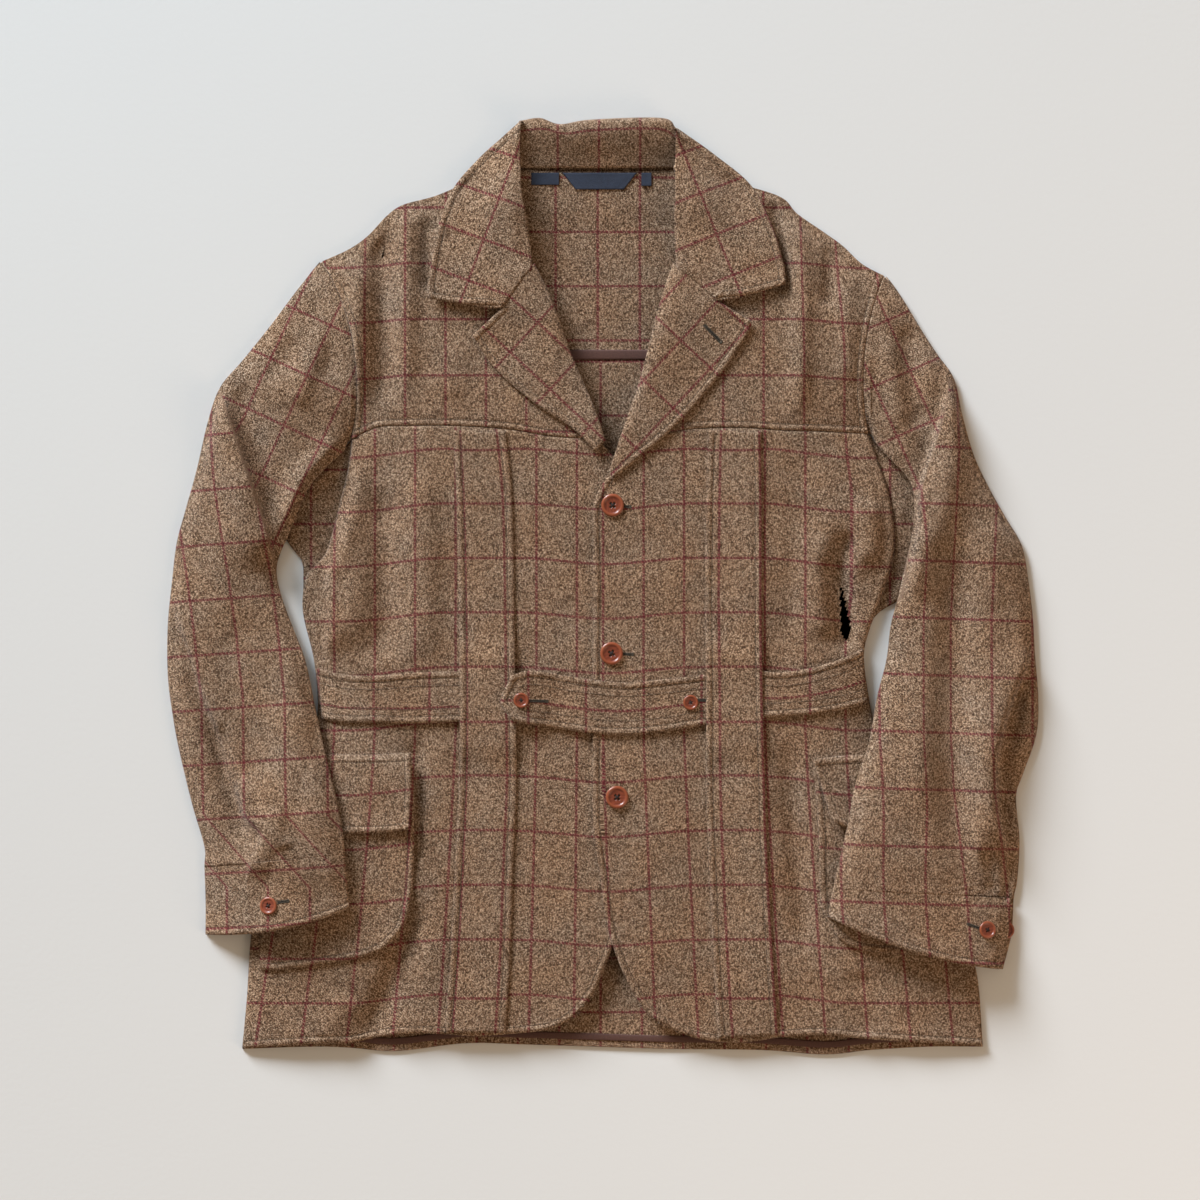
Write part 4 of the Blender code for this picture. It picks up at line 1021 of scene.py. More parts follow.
def build_pockets():
    for node, west, east, foot, top in (
        ("pocket_r", POCKET_BACK_R, POCKET_SIDE_R, POCKET_FOOT_R, POCKET_TOP_R),
        ("pocket_l", POCKET_SIDE_L, POCKET_BACK_L, POCKET_FOOT_L, POCKET_TOP_L),
        ("flap_r", FLAP_BACK_R, FLAP_SIDE_R, FLAP_FOOT_R, FLAP_TOP_R),
        ("flap_l", FLAP_SIDE_L, FLAP_BACK_L, FLAP_FOOT_L, FLAP_TOP_L),
    ):
        kind, side = node.split("_")
        wide, tall, height_at, under = {
            "pocket": (120, 178, pocket, "front"), "flap": (95, 70, flap, "pocket"),
        }[kind]
        us, vs = edge_steps(wide, pitch=3), edge_steps(tall, pitch=3)
        plan = patch(upward(west), upward(east), foot, top, us, vs)
        x, y = plan[..., 0], plan[..., 1]
        height = height_at(x, y) + lumps(x, y)
        for curve in (east if side == "r" else west, foot):
            height += rim(distance(curve, x, y), stands=STANDS[kind])
        if kind == "flap":
            height += rim(distance(top, x, y), FLAP_ROW, 0.3)
        lines = right_check if side == "r" else body_check
        check = flat_check(lines, plan + (0, POCKET_CHECK_UP))
        dressed(node, plan, height, check, [f"{under}_{side}_cloth"])


def build_lapels():
    us, vs = edge_steps(86, True, False, 2.6), edge_steps(180, False, True, 3)
    back_us = 1 - us[::-1]
    foot = (LAPEL_EDGE_R[-1], ROLL_R[-1])
    plan = patch(upward(LAPEL_EDGE_R), upward(ROLL_R), foot, GORGE_R, us, vs)
    lapel("lapel_r", plan, us, fronts, (LAPEL_EDGE_R, GORGE_R[:2]), ((-58.2, 236.8), 47))
    foot = (ROLL_L[-1], LAPEL_EDGE_L[-1])
    plan = patch(upward(ROLL_L), upward(LAPEL_EDGE_L), foot, upward(GORGE_L), back_us, vs)
    lapel("lapel_l", plan[:, ::-1], us, left_front, (LAPEL_EDGE_L, GORGE_L[:2]), ((70.3, 220.7), -43))


def lapel(node, plan, us, under, stitched, lines):
    x, y = plan[..., 0], plan[..., 1]
    wide = np.linalg.norm(plan[:, -1] - plan[:, 0], axis=1) / 70
    roll = lapel_roll(us[None]) * np.clip(wide, 0, 1)[:, None]
    height = under(x, y) + LAYER + roll + lumps(x, y)
    for curve in stitched:
        height += rim(distance(curve, x, y), stands=STANDS["lapel"])
    SEWN_TOP[node[-1]] = np.column_stack([plan[-1], height[-1]])
    check = np.stack(turned(x, y, *lines), -1)
    dressed(node, plan, height, check, [f"yoke_{node[-1]}_cloth"])


def leaf_height(plan, us):
    x, y = plan[..., 0], plan[..., 1]
    u = np.broadcast_to(us, x.shape)
    out = -np.clip(inside(x, y), None, 0)
    fall = 4.0 * smooth(out / 34)
    neck = smooth((y - 300) / 90)
    flat = 1 - 0.75 * smooth((u - 0.8) / 0.25) * (1 - neck)
    roll = (5.0 + 5.5 * neck) * smooth(u / 0.85) * flat
    return body(x, y) + LAYER - fall + roll + 4.5 * smooth((y - 385) / 30)


def build_collar():
    """Its two leaves, sewn on along the lapels' seams."""
    us, vs = edge_steps(82, True, False, 2.8), edge_steps(185, True, False, 2.8)
    for side, edge, roll, foot, lines in (
        ("r", LEAF_EDGE_R, LEAF_ROLL_R, LEAF_FOOT_R, ((-106.5, 311.4), -20.5)),
        ("l", LEAF_EDGE_L, LEAF_ROLL_L, LEAF_FOOT_L, ((102.4, 316.0), 22)),
    ):
        seam = along(SEWN_TOP[side], 120)
        start = np.hypot(*(seam[:, :2] - foot[-1]).T).argmin()
        roll = np.vstack([seam[start::8, :2], roll[3:]])
        plan = patch(upward(edge), roll, (*foot[:-1], roll[0]), (edge[0], roll[-1]), us, vs)
        x, y = plan[..., 0], plan[..., 1]
        height = leaf_height(plan, us) + 0.8 * lumps(x, y, 4.1)
        near = np.hypot(x[..., None] - seam[:, 0], y[..., None] - seam[:, 1])
        away = smooth(near.min(-1) / 26)
        height = away * height + (1 - away) * (seam[near.argmin(-1), 2] + 0.2)
        for curve in (edge, foot):
            height += rim(distance(curve, x, y), stands=STANDS["collar"])
        along_v, along_u = turned(x, y, *lines, 49.0, 39.5)
        check = np.stack([along_u, along_v], -1)
        dressed(f"collar_leaf_{side}", plan, height, check, [f"yoke_{side}_cloth"])


def build_collar_back():
    """The stand from the neck seam, folded over and falling behind."""
    fold = along(COLLAR_FOLD, 60, even=False)
    foot = along(COLLAR_FOOT, 60)
    spread = np.linspace(-1, 1, 60) ** 3 * 5
    fold[:, 0] += spread
    foot[:, 0] += spread
    across = np.linspace(0, 1, 60)
    sag = 1 - COLLAR_SAG * abs(2 * across - 1) ** 3
    way = along(COLLAR_WAY, 44)
    rows = [np.column_stack([foot + part * (fold - foot), high * sag]) for part, high in way]
    points = np.array(rows)
    x = points[..., 0]
    points[..., 2] += 0.5 * lumps(x, points[..., 1]) * smooth((points[..., 2] - 5) / 6)
    run = np.concatenate([[0], np.cumsum(np.linalg.norm(np.diff(points[:, 30], axis=0), axis=1))])
    check = np.stack([(x + 3.2) / 37, np.broadcast_to((run[:, None] + 60) / 49, x.shape)], -1)
    piece = shell("collar_back", points, check)


def sleeve_sheet(node, side, kind, us, vs, lift=None):
    """One side of a sleeve or cuff, with the same places as its solid."""
    table = SLEEVE_R if side == "r" else SLEEVE_L
    u, v = np.meshgrid(us, vs)
    if kind == "upper":
        place, height = upper_sleeve(table, u, v, lift(table, u) if lift else 0.0)
    else:
        place, height = lower_sleeve(table, u, v)
    away = -1 if side == "r" else 1
    gap = (SEAM if kind == "upper" else HIDDEN_SEAM) + ARMPIT_GAP * u ** 4
    place[..., 0] += away * gap * (1 - smooth(v / 0.06))
    x, y = place[..., 0], place[..., 1]
    if kind == "upper":
        d = np.minimum(u, 1 - u) * section(table, u, v)[1]
        fade = smooth((d - 1) / 8) * smooth((v - 0.01) / 0.06)
        height = height + (lumps(x, y, 6.0) + creases(SLEEVE_CREASES[side], x, y)) * fade
        height += rim(v * len(table) * 20 + 1.5, 3.0, 0.2) * (v < 0.1)
        if v.max() > 0.99:
            hem = section(table, us, np.ones_like(us))[0]
            height += rim(distance(hem, x, y), stands=STANDS["cuff"])
        height = np.maximum(height, lower_sleeve(table, u, v)[1] + 0.8 * smooth(d / 8))
    cu, cv = sleeve_check(side, x, y)
    piece = shell(node, np.stack([x, y, height], -1), np.stack([cu, cv], -1))


def under_lap(table, u):
    """How far the right cuff's other end lies under the sleeve's own height."""
    return np.full_like(u, CUFF_TAB_DROP)


def build_sleeves():
    for side, table in (("r", SLEEVE_R), ("l", SLEEVE_L)):
        last = seam_step(table)
        us = edge_steps(115, False, False, 2.0)
        vs = np.linspace(0, last + CUFF_GAP / 4, 240)
        sleeve_sheet(f"sleeve_top_{side}", side, "upper", us, vs)
        sleeve_sheet(f"sleeve_under_{side}", side, "lower", us[::3], vs[::3])
        hem = last + (1 - last) * edge_steps(56, True, True, 2.6)
        sleeve_sheet(f"cuff_back_{side}", side, "lower", us[::2], hem)
        start = PLACKET if side == "r" else PLACKET_L
        us = start + (1 - start) * edge_steps(110, True, False, 2.6)
        sleeve_sheet(f"cuff_over_{side}", side, "upper", us, hem, cuff_lap)
    us = (PLACKET + 0.1) * edge_steps(50, False, True, 2.6)
    hem = seam_step(SLEEVE_R) + (1 - seam_step(SLEEVE_R)) * edge_steps(56, True, True, 2.6)
    sleeve_sheet("cuff_tab_r", "r", "upper", us, hem, under_lap)


def strip(node, middle, half):
    """A tape along a line, a little domed."""
    steps = np.linspace(-1, 1, 7)
    plan = np.array([middle + (0, half * step) for step in steps])
    height = CLOTH + TAPE_AIR + TAPE + 0.25 * np.cos(steps * 1.4)[:, None] + 0 * plan[..., 0]
    dressed(node, plan, height, plan / 40, ["back_cloth"], TAPE, TAPE_CLOTH, "binding")


def build_bindings():
    strip("yoke_binding", along(YOKE_TAPE, 160), YOKE_TAPE_HALF)
    x = np.linspace(*HEM_TAPE_ENDS, 220)
    hem = along(BACK_HEM, 120)
    y = np.interp(x, hem[:, 0], hem[:, 1]) + HEM_TAPE_UP
    strip("hem_binding", np.stack([x, y], 1), HEM_TAPE_HALF)


def build_labels():
    for name, left, right, foot in LABELS:
        taper = LABEL_TAPER if name == "label_main" else 0
        rows = []
        for t in np.linspace(0, 1, 14):
            inset = taper * (1 - t)
            x = np.linspace(left + inset, right - inset, 40)
            rows.append(np.stack([x, np.full_like(x, foot + (LABEL_TOP - foot) * t)], 1))
        plan = np.array(rows)
        x, y = plan[..., 0], plan[..., 1]
        height = yoke_inside(x, y) + SEAM + TAPE + 0.25 * lumps(x * 3, y * 3) + 0.3
        dressed(name, plan, height, plan / 10, ["back_yoke_cloth"], TAPE, LABEL_CLOTH, "label")


# Shared effects, as groups of shader nodes

def group(name, inputs, outputs):
    tree = bpy.data.node_groups.new(name, "ShaderNodeTree")
    for kind, label, value in inputs:
        socket = tree.interface.new_socket(label, in_out="INPUT", socket_type=kind)
        if value is not None:
            socket.default_value = value
    for kind, label in outputs:
        tree.interface.new_socket(label, in_out="OUTPUT", socket_type=kind)
    return tree, tree.nodes.new("NodeGroupInput"), tree.nodes.new("NodeGroupOutput")


def put(tree, kind, inputs=(), **settings):
    """A node with its settings, and its inputs as values or links."""
    node = tree.nodes.new(kind)
    for key, value in settings.items():
        setattr(node, key, value)
    for key, value in dict(inputs).items():
        if isinstance(value, bpy.types.NodeSocket):
            tree.links.new(value, node.inputs[key])
        else:
            node.inputs[key].default_value = value
    return node


def maths(tree, operation, a, b=0.0, c=0.0):
    return put(tree, "ShaderNodeMath", {0: a, 1: b, 2: c}, operation=operation).outputs[0]


def blend_colours(tree, how_much, a, b, kind="MIX"):
    node = put(tree, "ShaderNodeMix", {0: how_much, 6: a, 7: b}, data_type="RGBA", blend_type=kind)
    return node.outputs[2]


def mapped(tree, value, low, high, out_low, out_high):
    node = put(tree, "ShaderNodeMapRange", {0: value, 1: low, 2: high, 3: out_low, 4: out_high})
    return node.outputs[0]


def speckle(tree, place, scale, detail=2.0, rough=0.5):
    inputs = {"Vector": place, "Scale": scale, "Detail": detail, "Roughness": rough}
    return put(tree, "ShaderNodeTexNoise", inputs).outputs["Fac"]


def windowpane_group():
    """Dashed maroon lines where a count of lines is whole, broken by the twill."""
    tree, given, made = group(
        "windowpane lines",
        (("NodeSocketVector", "Counts", None), ("NodeSocketVector", "Cloth", None)),
        (("NodeSocketFloat", "Line"),),
    )
    parts = put(tree, "ShaderNodeSeparateXYZ", {0: given.outputs["Counts"]})
    cloth = put(tree, "ShaderNodeSeparateXYZ", {0: given.outputs["Cloth"]})
    wander = speckle(tree, given.outputs["Cloth"], 0.35, 2.0)
    lines = []
    for axis, other, pitch in ((0, 1, CHECK_X), (1, 0, CHECK_Y)):
        astray = maths(tree, "MULTIPLY_ADD", wander, 0.016, -0.008)
        moved = maths(tree, "ADD", parts.outputs[axis], astray)
        off = maths(tree, "ABSOLUTE", maths(tree, "SUBTRACT", moved, maths(tree, "ROUND", moved)))
        band = mapped(tree, maths(tree, "MULTIPLY", off, pitch), 0.90, 1.40, 1.0, 0.0)
        slant = maths(tree, "ADD", cloth.outputs[other], maths(tree, "MULTIPLY", cloth.outputs[axis], 0.8))
        wave = maths(tree, "SINE", maths(tree, "MULTIPLY", slant, 2 * math.pi / 3.1))
        dash = mapped(tree, wave, -0.7, 0.3, 0.35, 1.0)
        lines.append(maths(tree, "MULTIPLY", band, dash))
    both = maths(tree, "MAXIMUM", lines[0], lines[1])
    fleck = mapped(tree, speckle(tree, given.outputs["Cloth"], 0.9, 1.0), 0.33, 0.55, 0.55, 1.0)
    tree.links.new(maths(tree, "MULTIPLY", both, fleck), made.inputs["Line"])
    return tree


def heather_group():
    """Carded yarn of dark, tan and pale fibres in a fine twill."""
    tree, given, made = group(
        "heathered twill",
        (("NodeSocketVector", "Cloth", None), ("NodeSocketFloat", "Line", 0.0)),
        (("NodeSocketColor", "Colour"), ("NodeSocketFloat", "Relief")),
    )
    place = given.outputs["Cloth"]
    parts = put(tree, "ShaderNodeSeparateXYZ", {0: place})
    coarse = speckle(tree, place, 0.24, 2.0, 0.6)
    fine = speckle(tree, place, 1.3, 2.0, 0.7)
    broad = speckle(tree, place, 0.022, 3.0, 0.55)
    slant = maths(tree, "ADD", parts.outputs[0], parts.outputs[1])
    waver = maths(tree, "MULTIPLY", fine, 2.2)
    rib = maths(tree, "SINE", maths(tree, "MULTIPLY_ADD", slant, 2 * math.pi / 2.1, waver))
    inputs = {"Vector": place, "Rotation": (0, 0, math.radians(-45)), "Scale": (1.04, 0.96, 1)}
    turn = put(tree, "ShaderNodeMapping", inputs)
    inputs = {"Vector": turn.outputs[0], "Scale": 1.5, "Randomness": 0.9}
    flecks = put(tree, "ShaderNodeTexVoronoi", inputs)
    cell = put(tree, "ShaderNodeSeparateColor", {0: flecks.outputs["Color"]}).outputs[0]
    tone = maths(tree, "MULTIPLY_ADD", cell, 0.72, maths(tree, "MULTIPLY", fine, 0.28))
    tone = maths(tree, "MULTIPLY_ADD", rib, 0.06, tone)
    tone = maths(tree, "MULTIPLY_ADD", maths(tree, "SUBTRACT", coarse, 0.5), 0.20, tone)
    ramp = put(tree, "ShaderNodeValToRGB", {0: tone})
    stops = ramp.color_ramp.elements
    stops[0].position, stops[0].color = 0.20, (*DARK_YARN, 1)
    stops[1].position, stops[1].color = 0.84, (*PALE_YARN, 1)
    for at, colour in ((0.42, BROWN_YARN), (0.59, TAN_YARN)):
        stop = stops.new(at)
        stop.color = (*colour, 1)
    warm = mapped(tree, broad, 0.35, 0.65, 0.0, 1.0)
    tinted = blend_colours(tree, warm, (0.95, 0.99, 1.04, 1), (1.05, 1.0, 0.95, 1))
    cloth = blend_colours(tree, 1.0, ramp.outputs[0], tinted, "MULTIPLY")
    red = blend_colours(tree, cell, (*MAROON_DARK, 1), (*MAROON, 1))
    amount = maths(tree, "MULTIPLY", given.outputs["Line"], 0.98)
    tree.links.new(blend_colours(tree, amount, cloth, red), made.inputs["Colour"])
    ribs, cells = maths(tree, "MULTIPLY", rib, 0.25), maths(tree, "MULTIPLY", cell, 0.9)
    relief = maths(tree, "ADD", ribs, cells)
    tree.links.new(relief, made.inputs["Relief"])
    return tree


def bumped(tree, shader, height, strength, distance):
    """Bends a shader's normals by a height."""
    inputs = {"Height": height, "Strength": strength, "Distance": distance}
    bump = put(tree, "ShaderNodeBump", inputs)
    tree.links.new(bump.outputs[0], shader.inputs["Normal"])


def cloth_place(tree, wide, long):
    """Places on the cloth in millimetres, and the counts of lines there."""
    counts = put(tree, "ShaderNodeUVMap", uv_map="cloth").outputs[0]
    scale = put(tree, "ShaderNodeVectorMath", {0: counts, 1: (wide, long, 1)}, operation="MULTIPLY")
    return counts, scale.outputs[0]


def new_material(name, colour):
    material = bpy.data.materials.new(name)
    material.use_nodes = True
    tree = material.node_tree
    shader = tree.nodes["Principled BSDF"]
    shader.inputs["Base Color"].default_value = (*colour, 1)
    material.diffuse_color = (*colour, 1)
    return material, tree, shader


def tweed_material():
    material, tree, shader = new_material("windowpane tweed", TAN_YARN)
    counts, place = cloth_place(tree, CHECK_X, CHECK_Y)
    lines = put(tree, "ShaderNodeGroup", node_tree=windowpane_group())
    heather = put(tree, "ShaderNodeGroup", node_tree=heather_group())
    tree.links.new(counts, lines.inputs["Counts"])
    tree.links.new(place, lines.inputs["Cloth"])
    tree.links.new(place, heather.inputs["Cloth"])
    tree.links.new(lines.outputs[0], heather.inputs["Line"])
    tree.links.new(heather.outputs["Colour"], shader.inputs["Base Color"])
    bumped(tree, shader, heather.outputs["Relief"], 0.22, 0.0005)
    shader.inputs["Roughness"].default_value = 0.95
    shader.inputs["Specular IOR Level"].default_value = 0.15
    shader.inputs["Sheen Weight"].default_value = 0.10
    shader.inputs["Sheen Roughness"].default_value = 0.55
    shader.inputs["Sheen Tint"].default_value = (0.86, 0.88, 0.90, 1)
    return material


def tape_material():
    material, tree, shader = new_material("rust twill tape", (0.17, 0.06, 0.045))
    _, place = cloth_place(tree, 40.0, 40.0)
    parts = put(tree, "ShaderNodeSeparateXYZ", {0: place})
    rib = maths(tree, "SINE", maths(tree, "MULTIPLY", parts.outputs[0], 2 * math.pi / 1.1))
    tone = maths(tree, "MULTIPLY_ADD", rib, 0.16, speckle(tree, place, 0.8, 2.0))
    colour = blend_colours(tree, tone, (0.040, 0.016, 0.012, 1), (0.135, 0.055, 0.040, 1))
    tree.links.new(colour, shader.inputs["Base Color"])
    bumped(tree, shader, tone, 0.5, 0.0003)
    shader.inputs["Roughness"].default_value = 0.7
    return material


def label_material():
    material, tree, shader = new_material("navy woven label", (0.012, 0.021, 0.048))
    _, place = cloth_place(tree, 10.0, 10.0)
    parts = put(tree, "ShaderNodeSeparateXYZ", {0: place})
    threads = [
        maths(tree, "SINE", maths(tree, "MULTIPLY", parts.outputs[k], 2 * math.pi / 0.55)) for k in (0, 1)
    ]
    weave = maths(tree, "MULTIPLY", threads[0], threads[1])
    tone = maths(tree, "MULTIPLY_ADD", weave, 0.25, speckle(tree, place, 0.5, 2.0))
    colour = blend_colours(tree, tone, (0.006, 0.010, 0.024, 1), (0.018, 0.032, 0.072, 1))
    tree.links.new(colour, shader.inputs["Base Color"])
    bumped(tree, shader, weave, 0.4, 0.0002)
    shader.inputs["Roughness"].default_value = 0.55
    return material


def thread_material(name, colour):
    material, tree, shader = new_material(name, colour)
    place = put(tree, "ShaderNodeTexCoord").outputs["Object"]
    ply = speckle(tree, place, 2600.0, 2.0)
    dark = tuple(0.55 * c for c in colour)
    tree.links.new(blend_colours(tree, ply, (*dark, 1), (*colour, 1)), shader.inputs["Base Color"])
    shader.inputs["Roughness"].default_value = 0.75
    return material


def button_material():
    """Polished russet with a darker swirl, and a lighter rim that is a painted highlight on its raised
    edge.
    """
    material, tree, shader = new_material("russet button", (0.22, 0.048, 0.020))
    place = put(tree, "ShaderNodeTexCoord").outputs["Object"]
    swirl = put(
        tree, "ShaderNodeTexWave",
        {"Vector": place, "Scale": 90.0, "Distortion": 9.0, "Detail": 2.0, "Detail Scale": 1.2},
    ).outputs["Fac"]
    cloud = speckle(tree, place, 260.0, 3.0)
    tone = maths(tree, "MULTIPLY_ADD", swirl, 0.45, maths(tree, "MULTIPLY", cloud, 0.6))
    face = blend_colours(tree, tone, (0.125, 0.022, 0.011, 1), (0.26, 0.055, 0.024, 1))
    # The "rim" attribute marks the raised rim, where a lighter colour paints a highlight
    edge = put(tree, "ShaderNodeAttribute", attribute_name="rim").outputs["Fac"]
    tree.links.new(blend_colours(tree, edge, face, (0.28, 0.068, 0.027, 1)), shader.inputs["Base Color"])
    scratch = speckle(tree, place, 1400.0, 3.0)
    tree.links.new(mapped(tree, scratch, 0.3, 0.7, 0.26, 0.42), shader.inputs["Roughness"])
    shader.inputs["Coat Weight"].default_value = 0.35
    shader.inputs["Coat Roughness"].default_value = 0.18
    return material


def floor_material():
    material, tree, shader = new_material("pale floor", (0.74, 0.73, 0.70))
    place = put(tree, "ShaderNodeTexCoord").outputs["Object"]
    cloud = speckle(tree, place, 1.1, 2.0)
    grain = speckle(tree, place, 240.0, 3.0)
    colour = blend_colours(tree, cloud, (0.70, 0.70, 0.70, 1), (0.745, 0.74, 0.73, 1))
    tree.links.new(colour, shader.inputs["Base Color"])
    bumped(tree, shader, grain, 0.12, 0.0006)
    shader.inputs["Roughness"].default_value = 0.6
    return material


# Linear colours of the fibres, the check, the threads, and the painted shade in the buttonhole slits
DARK_YARN = (0.030, 0.014, 0.006)
BROWN_YARN = (0.118, 0.064, 0.033)
TAN_YARN = (0.222, 0.131, 0.079)
PALE_YARN = (0.560, 0.400, 0.276)
MAROON_DARK = (0.055, 0.005, 0.010)
MAROON = (0.190, 0.012, 0.026)
SEWING = (0.110, 0.070, 0.040)
EYELET = (0.070, 0.062, 0.044)
# Near-black, for the button threads and for the painted shade in the buttonhole slits
DARK_THREAD_AND_SLIT_SHADE = (0.018, 0.012, 0.010)


LOOKS = {}


def on_piece(node):
    """A function that gives the height and the way out at places on a piece."""
    if node in LOOKS:
        return LOOKS[node]
    points, quads = SURFACES[node]
    tree = BVHTree.FromPolygons(points.reshape(-1, 3).tolist(), quads.tolist())

    def look(x, y):
        hit, normal, _, _ = tree.ray_cast(Vector((x, y, 90)), Vector((0, 0, -1)))
        return (hit, normal) if hit is not None else (None, None)

    LOOKS[node] = look
    return look


def bar(ends, radius, sides=6, lift=0.35):
    """A short thread between two points that dips into the cloth at both ends."""
    a, b = Vector(ends[0]), Vector(ends[1])
    run = (b - a).normalized()
    up = Vector((0, 0, 1))
    wide = run.cross(up).normalized()
    high = wide.cross(run).normalized()
    verts, faces = [], []
    rings = (
        (-0.04, -0.9, 0.35), (0.12, 0.1, 0.9), (0.5, lift / radius * 0.5, 1.0),
        (0.88, 0.1, 0.9), (1.04, -0.9, 0.35),
    )
    for t, rise, full in rings:
        middle = a.lerp(b, t) + high * rise * radius
        for k in range(sides):
            angle = 2 * math.pi * k / sides
            verts.append(middle + radius * full * (math.cos(angle) * wide + math.sin(angle) * high))
    for r in range(len(rings) - 1):
        for k in range(sides):
            n = (k + 1) % sides
            faces.append((r * sides + k, r * sides + n, (r + 1) * sides + n, (r + 1) * sides + k))
    faces.append(tuple(range(sides))[::-1])
    faces.append(tuple(range(len(verts) - sides, len(verts))))
    return verts, faces


def thread_on(look, places, lift, *shape):
    """A thread between two places on a piece, or none where one is off it."""
    ends = []
    for x, y in places:
        hit, normal = look(x, y)
        if hit is not None:
            ends.append(hit + normal * lift)
    return [bar(ends, *shape)] if len(ends) == 2 else []


def joined(name, parts, material):
    """Many small parts as one piece."""
    verts, faces = [], []
    for part_verts, part_faces in parts:
        start = len(verts)
        verts += [tuple(v * MM) for v in part_verts]
        faces += [tuple(i + start for i in face) for face in part_faces]
    mesh = bpy.data.meshes.new(name)
    mesh.from_pydata(verts, [], faces)
    mesh.shade_smooth()
    mesh.materials.append(material)
    piece = in_scene(name, mesh)
    piece.location = SHIFT
    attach(piece, "root")
    return piece


def cuff_hem(table, start):
    """A cuff's edge from its button end to the inner side."""
    steps = np.linspace(start, 1, 40)
    return section(table, steps, np.ones_like(steps))[0]


# Rows of topstitching: the piece, the edge it follows, and how far in if not as usual
STITCHED = (
    ("front_r", EDGE_R), ("front_r", HEM_R), ("front_l", EDGE_L), ("front_l", HEM_L),
    ("yoke_r", YOKE_SEAM_R), ("yoke_l", YOKE_SEAM_L),
    ("pleat_r", PLEAT_OUTER_R), ("pleat_r", PLEAT_INNER_R),
    ("pleat_l", PLEAT_INNER_L), ("pleat_l", PLEAT_OUTER_L),
    ("belt_r", BELT_R_TOP, *BELT_ROWS), ("belt_r", BELT_R_FOOT, *BELT_ROWS),
    ("belt_front", BELT_TOP, *BELT_ROWS), ("belt_front", BELT_FOOT, *BELT_ROWS),
    ("belt_front", BELT_TIP),
    ("belt_l", BELT_L_TOP, *BELT_ROWS), ("belt_l", BELT_L_FOOT, *BELT_ROWS),
    ("pocket_r", POCKET_SIDE_R), ("pocket_r", POCKET_FOOT_R),
    ("pocket_l", POCKET_SIDE_L), ("pocket_l", POCKET_FOOT_L),
    ("flap_r", FLAP_TOP_R, FLAP_ROW), ("flap_r", FLAP_SIDE_R), ("flap_r", FLAP_FOOT_R),
    ("flap_l", FLAP_TOP_L, FLAP_ROW), ("flap_l", FLAP_SIDE_L), ("flap_l", FLAP_FOOT_L),
    ("lapel_r", LAPEL_EDGE_R), ("lapel_l", LAPEL_EDGE_L),
    ("collar_leaf_r", LEAF_EDGE_R), ("collar_leaf_r", LEAF_FOOT_R),
    ("collar_leaf_l", LEAF_EDGE_L), ("collar_leaf_l", LEAF_FOOT_L),
    ("yoke_r", armhole(SLEEVE_R, 24)[3:]), ("yoke_l", armhole(SLEEVE_L, 24)[3:]),
    ("cuff_over_r", cuff_hem(SLEEVE_R, PLACKET)), ("cuff_over_l", cuff_hem(SLEEVE_L, PLACKET_L)),
)


def stitch_row(look, edge, offset):
    """A row of stitches beside an edge, on the side where the piece is."""
    line = along(edge, 400)
    way = np.gradient(line, axis=0)
    way /= np.linalg.norm(way, axis=1)[:, None]
    inward = offset * np.stack([-way[:, 1], way[:, 0]], 1)
    probe = line[200] + inward[200]
    line = line + inward if look(*probe)[0] is not None else line - inward
    run = np.concatenate([[0], np.cumsum(np.linalg.norm(np.diff(line, axis=0), axis=1))])
    row = []
    for start in np.arange(3.0, run[-1] - 5.0, STITCH_EVERY):
        ends = (start, start + STITCH_LONG)
        places = [[np.interp(at, run, line[:, k]) for k in (0, 1)] for at in ends]
        row += thread_on(look, places, 0.1, THREAD)
    return row


def build_topstitching():
    parts = []
    for node, edge, *offsets in STITCHED:
        for offset in offsets or (STITCH_IN,):
            parts += stitch_row(on_piece(node), edge, offset)
    joined("topstitching", parts, thread_material("brown sewing thread", SEWING))


# Worked buttonholes: the piece, from x, y to x, y, and the half width
BUTTONHOLES = (
    ("front_l", 13, 72.2, 24.5, 71.5, 1.0),
    ("front_l", 13, -60.3, 26.5, -61, 1.0),
    ("lapel_l", 91, 234.5, 106, 219.5, 1.2),
    ("belt_front", -65.5, -102.6, -50, -103, 1.0),
    ("belt_front", 84, -102, 94, -102, 1.0),
    ("cuff_over_r", -291, -283, -282, -281.7, 1.0),
    ("cuff_over_l", 338, -306.5, 328.3, -303, 1.0),
)


def build_buttonholes():
    """A slit with close stitches along both sides and a keyhole at its far end; the slit is a near-black
    bar that paints the shade in its gap.
    """
    threads, slits = [], []
    for node, x0, y0, x1, y1, half in BUTTONHOLES:
        look = on_piece(node)
        run = Vector((x1 - x0, y1 - y0))
        length = run.length
        run /= length
        off = Vector((-run.y, run.x))
        count = int(length / TWIST_EVERY)
        for k in range(count + 1):
            middle = Vector((x0, y0)) + run * length * k / count
            for side in (-1, 1):
                places = [middle + off * side * out for out in (0.35, half + 0.35)]
                threads += thread_on(look, places, 0.18, *TWIST)
        for k in range(9):
            angle = math.pi * (k / 8 - 0.5)
            way = run * math.cos(angle) + off * math.sin(angle)
            places = [Vector((x1, y1)) + way * out for out in (0.5, half + 0.7)]
            threads += thread_on(look, places, 0.18, *TWIST)
        # A near-black bar along the slit paints the shade in its gap
        slits += thread_on(look, ((x0, y0), (x1, y1)), 0.12, *SLIT)
    joined("buttonhole_stitches", threads, thread_material("buttonhole twist", EYELET))
    joined("buttonhole_slits", slits, thread_material("painted slit shade", DARK_THREAD_AND_SLIT_SHADE))


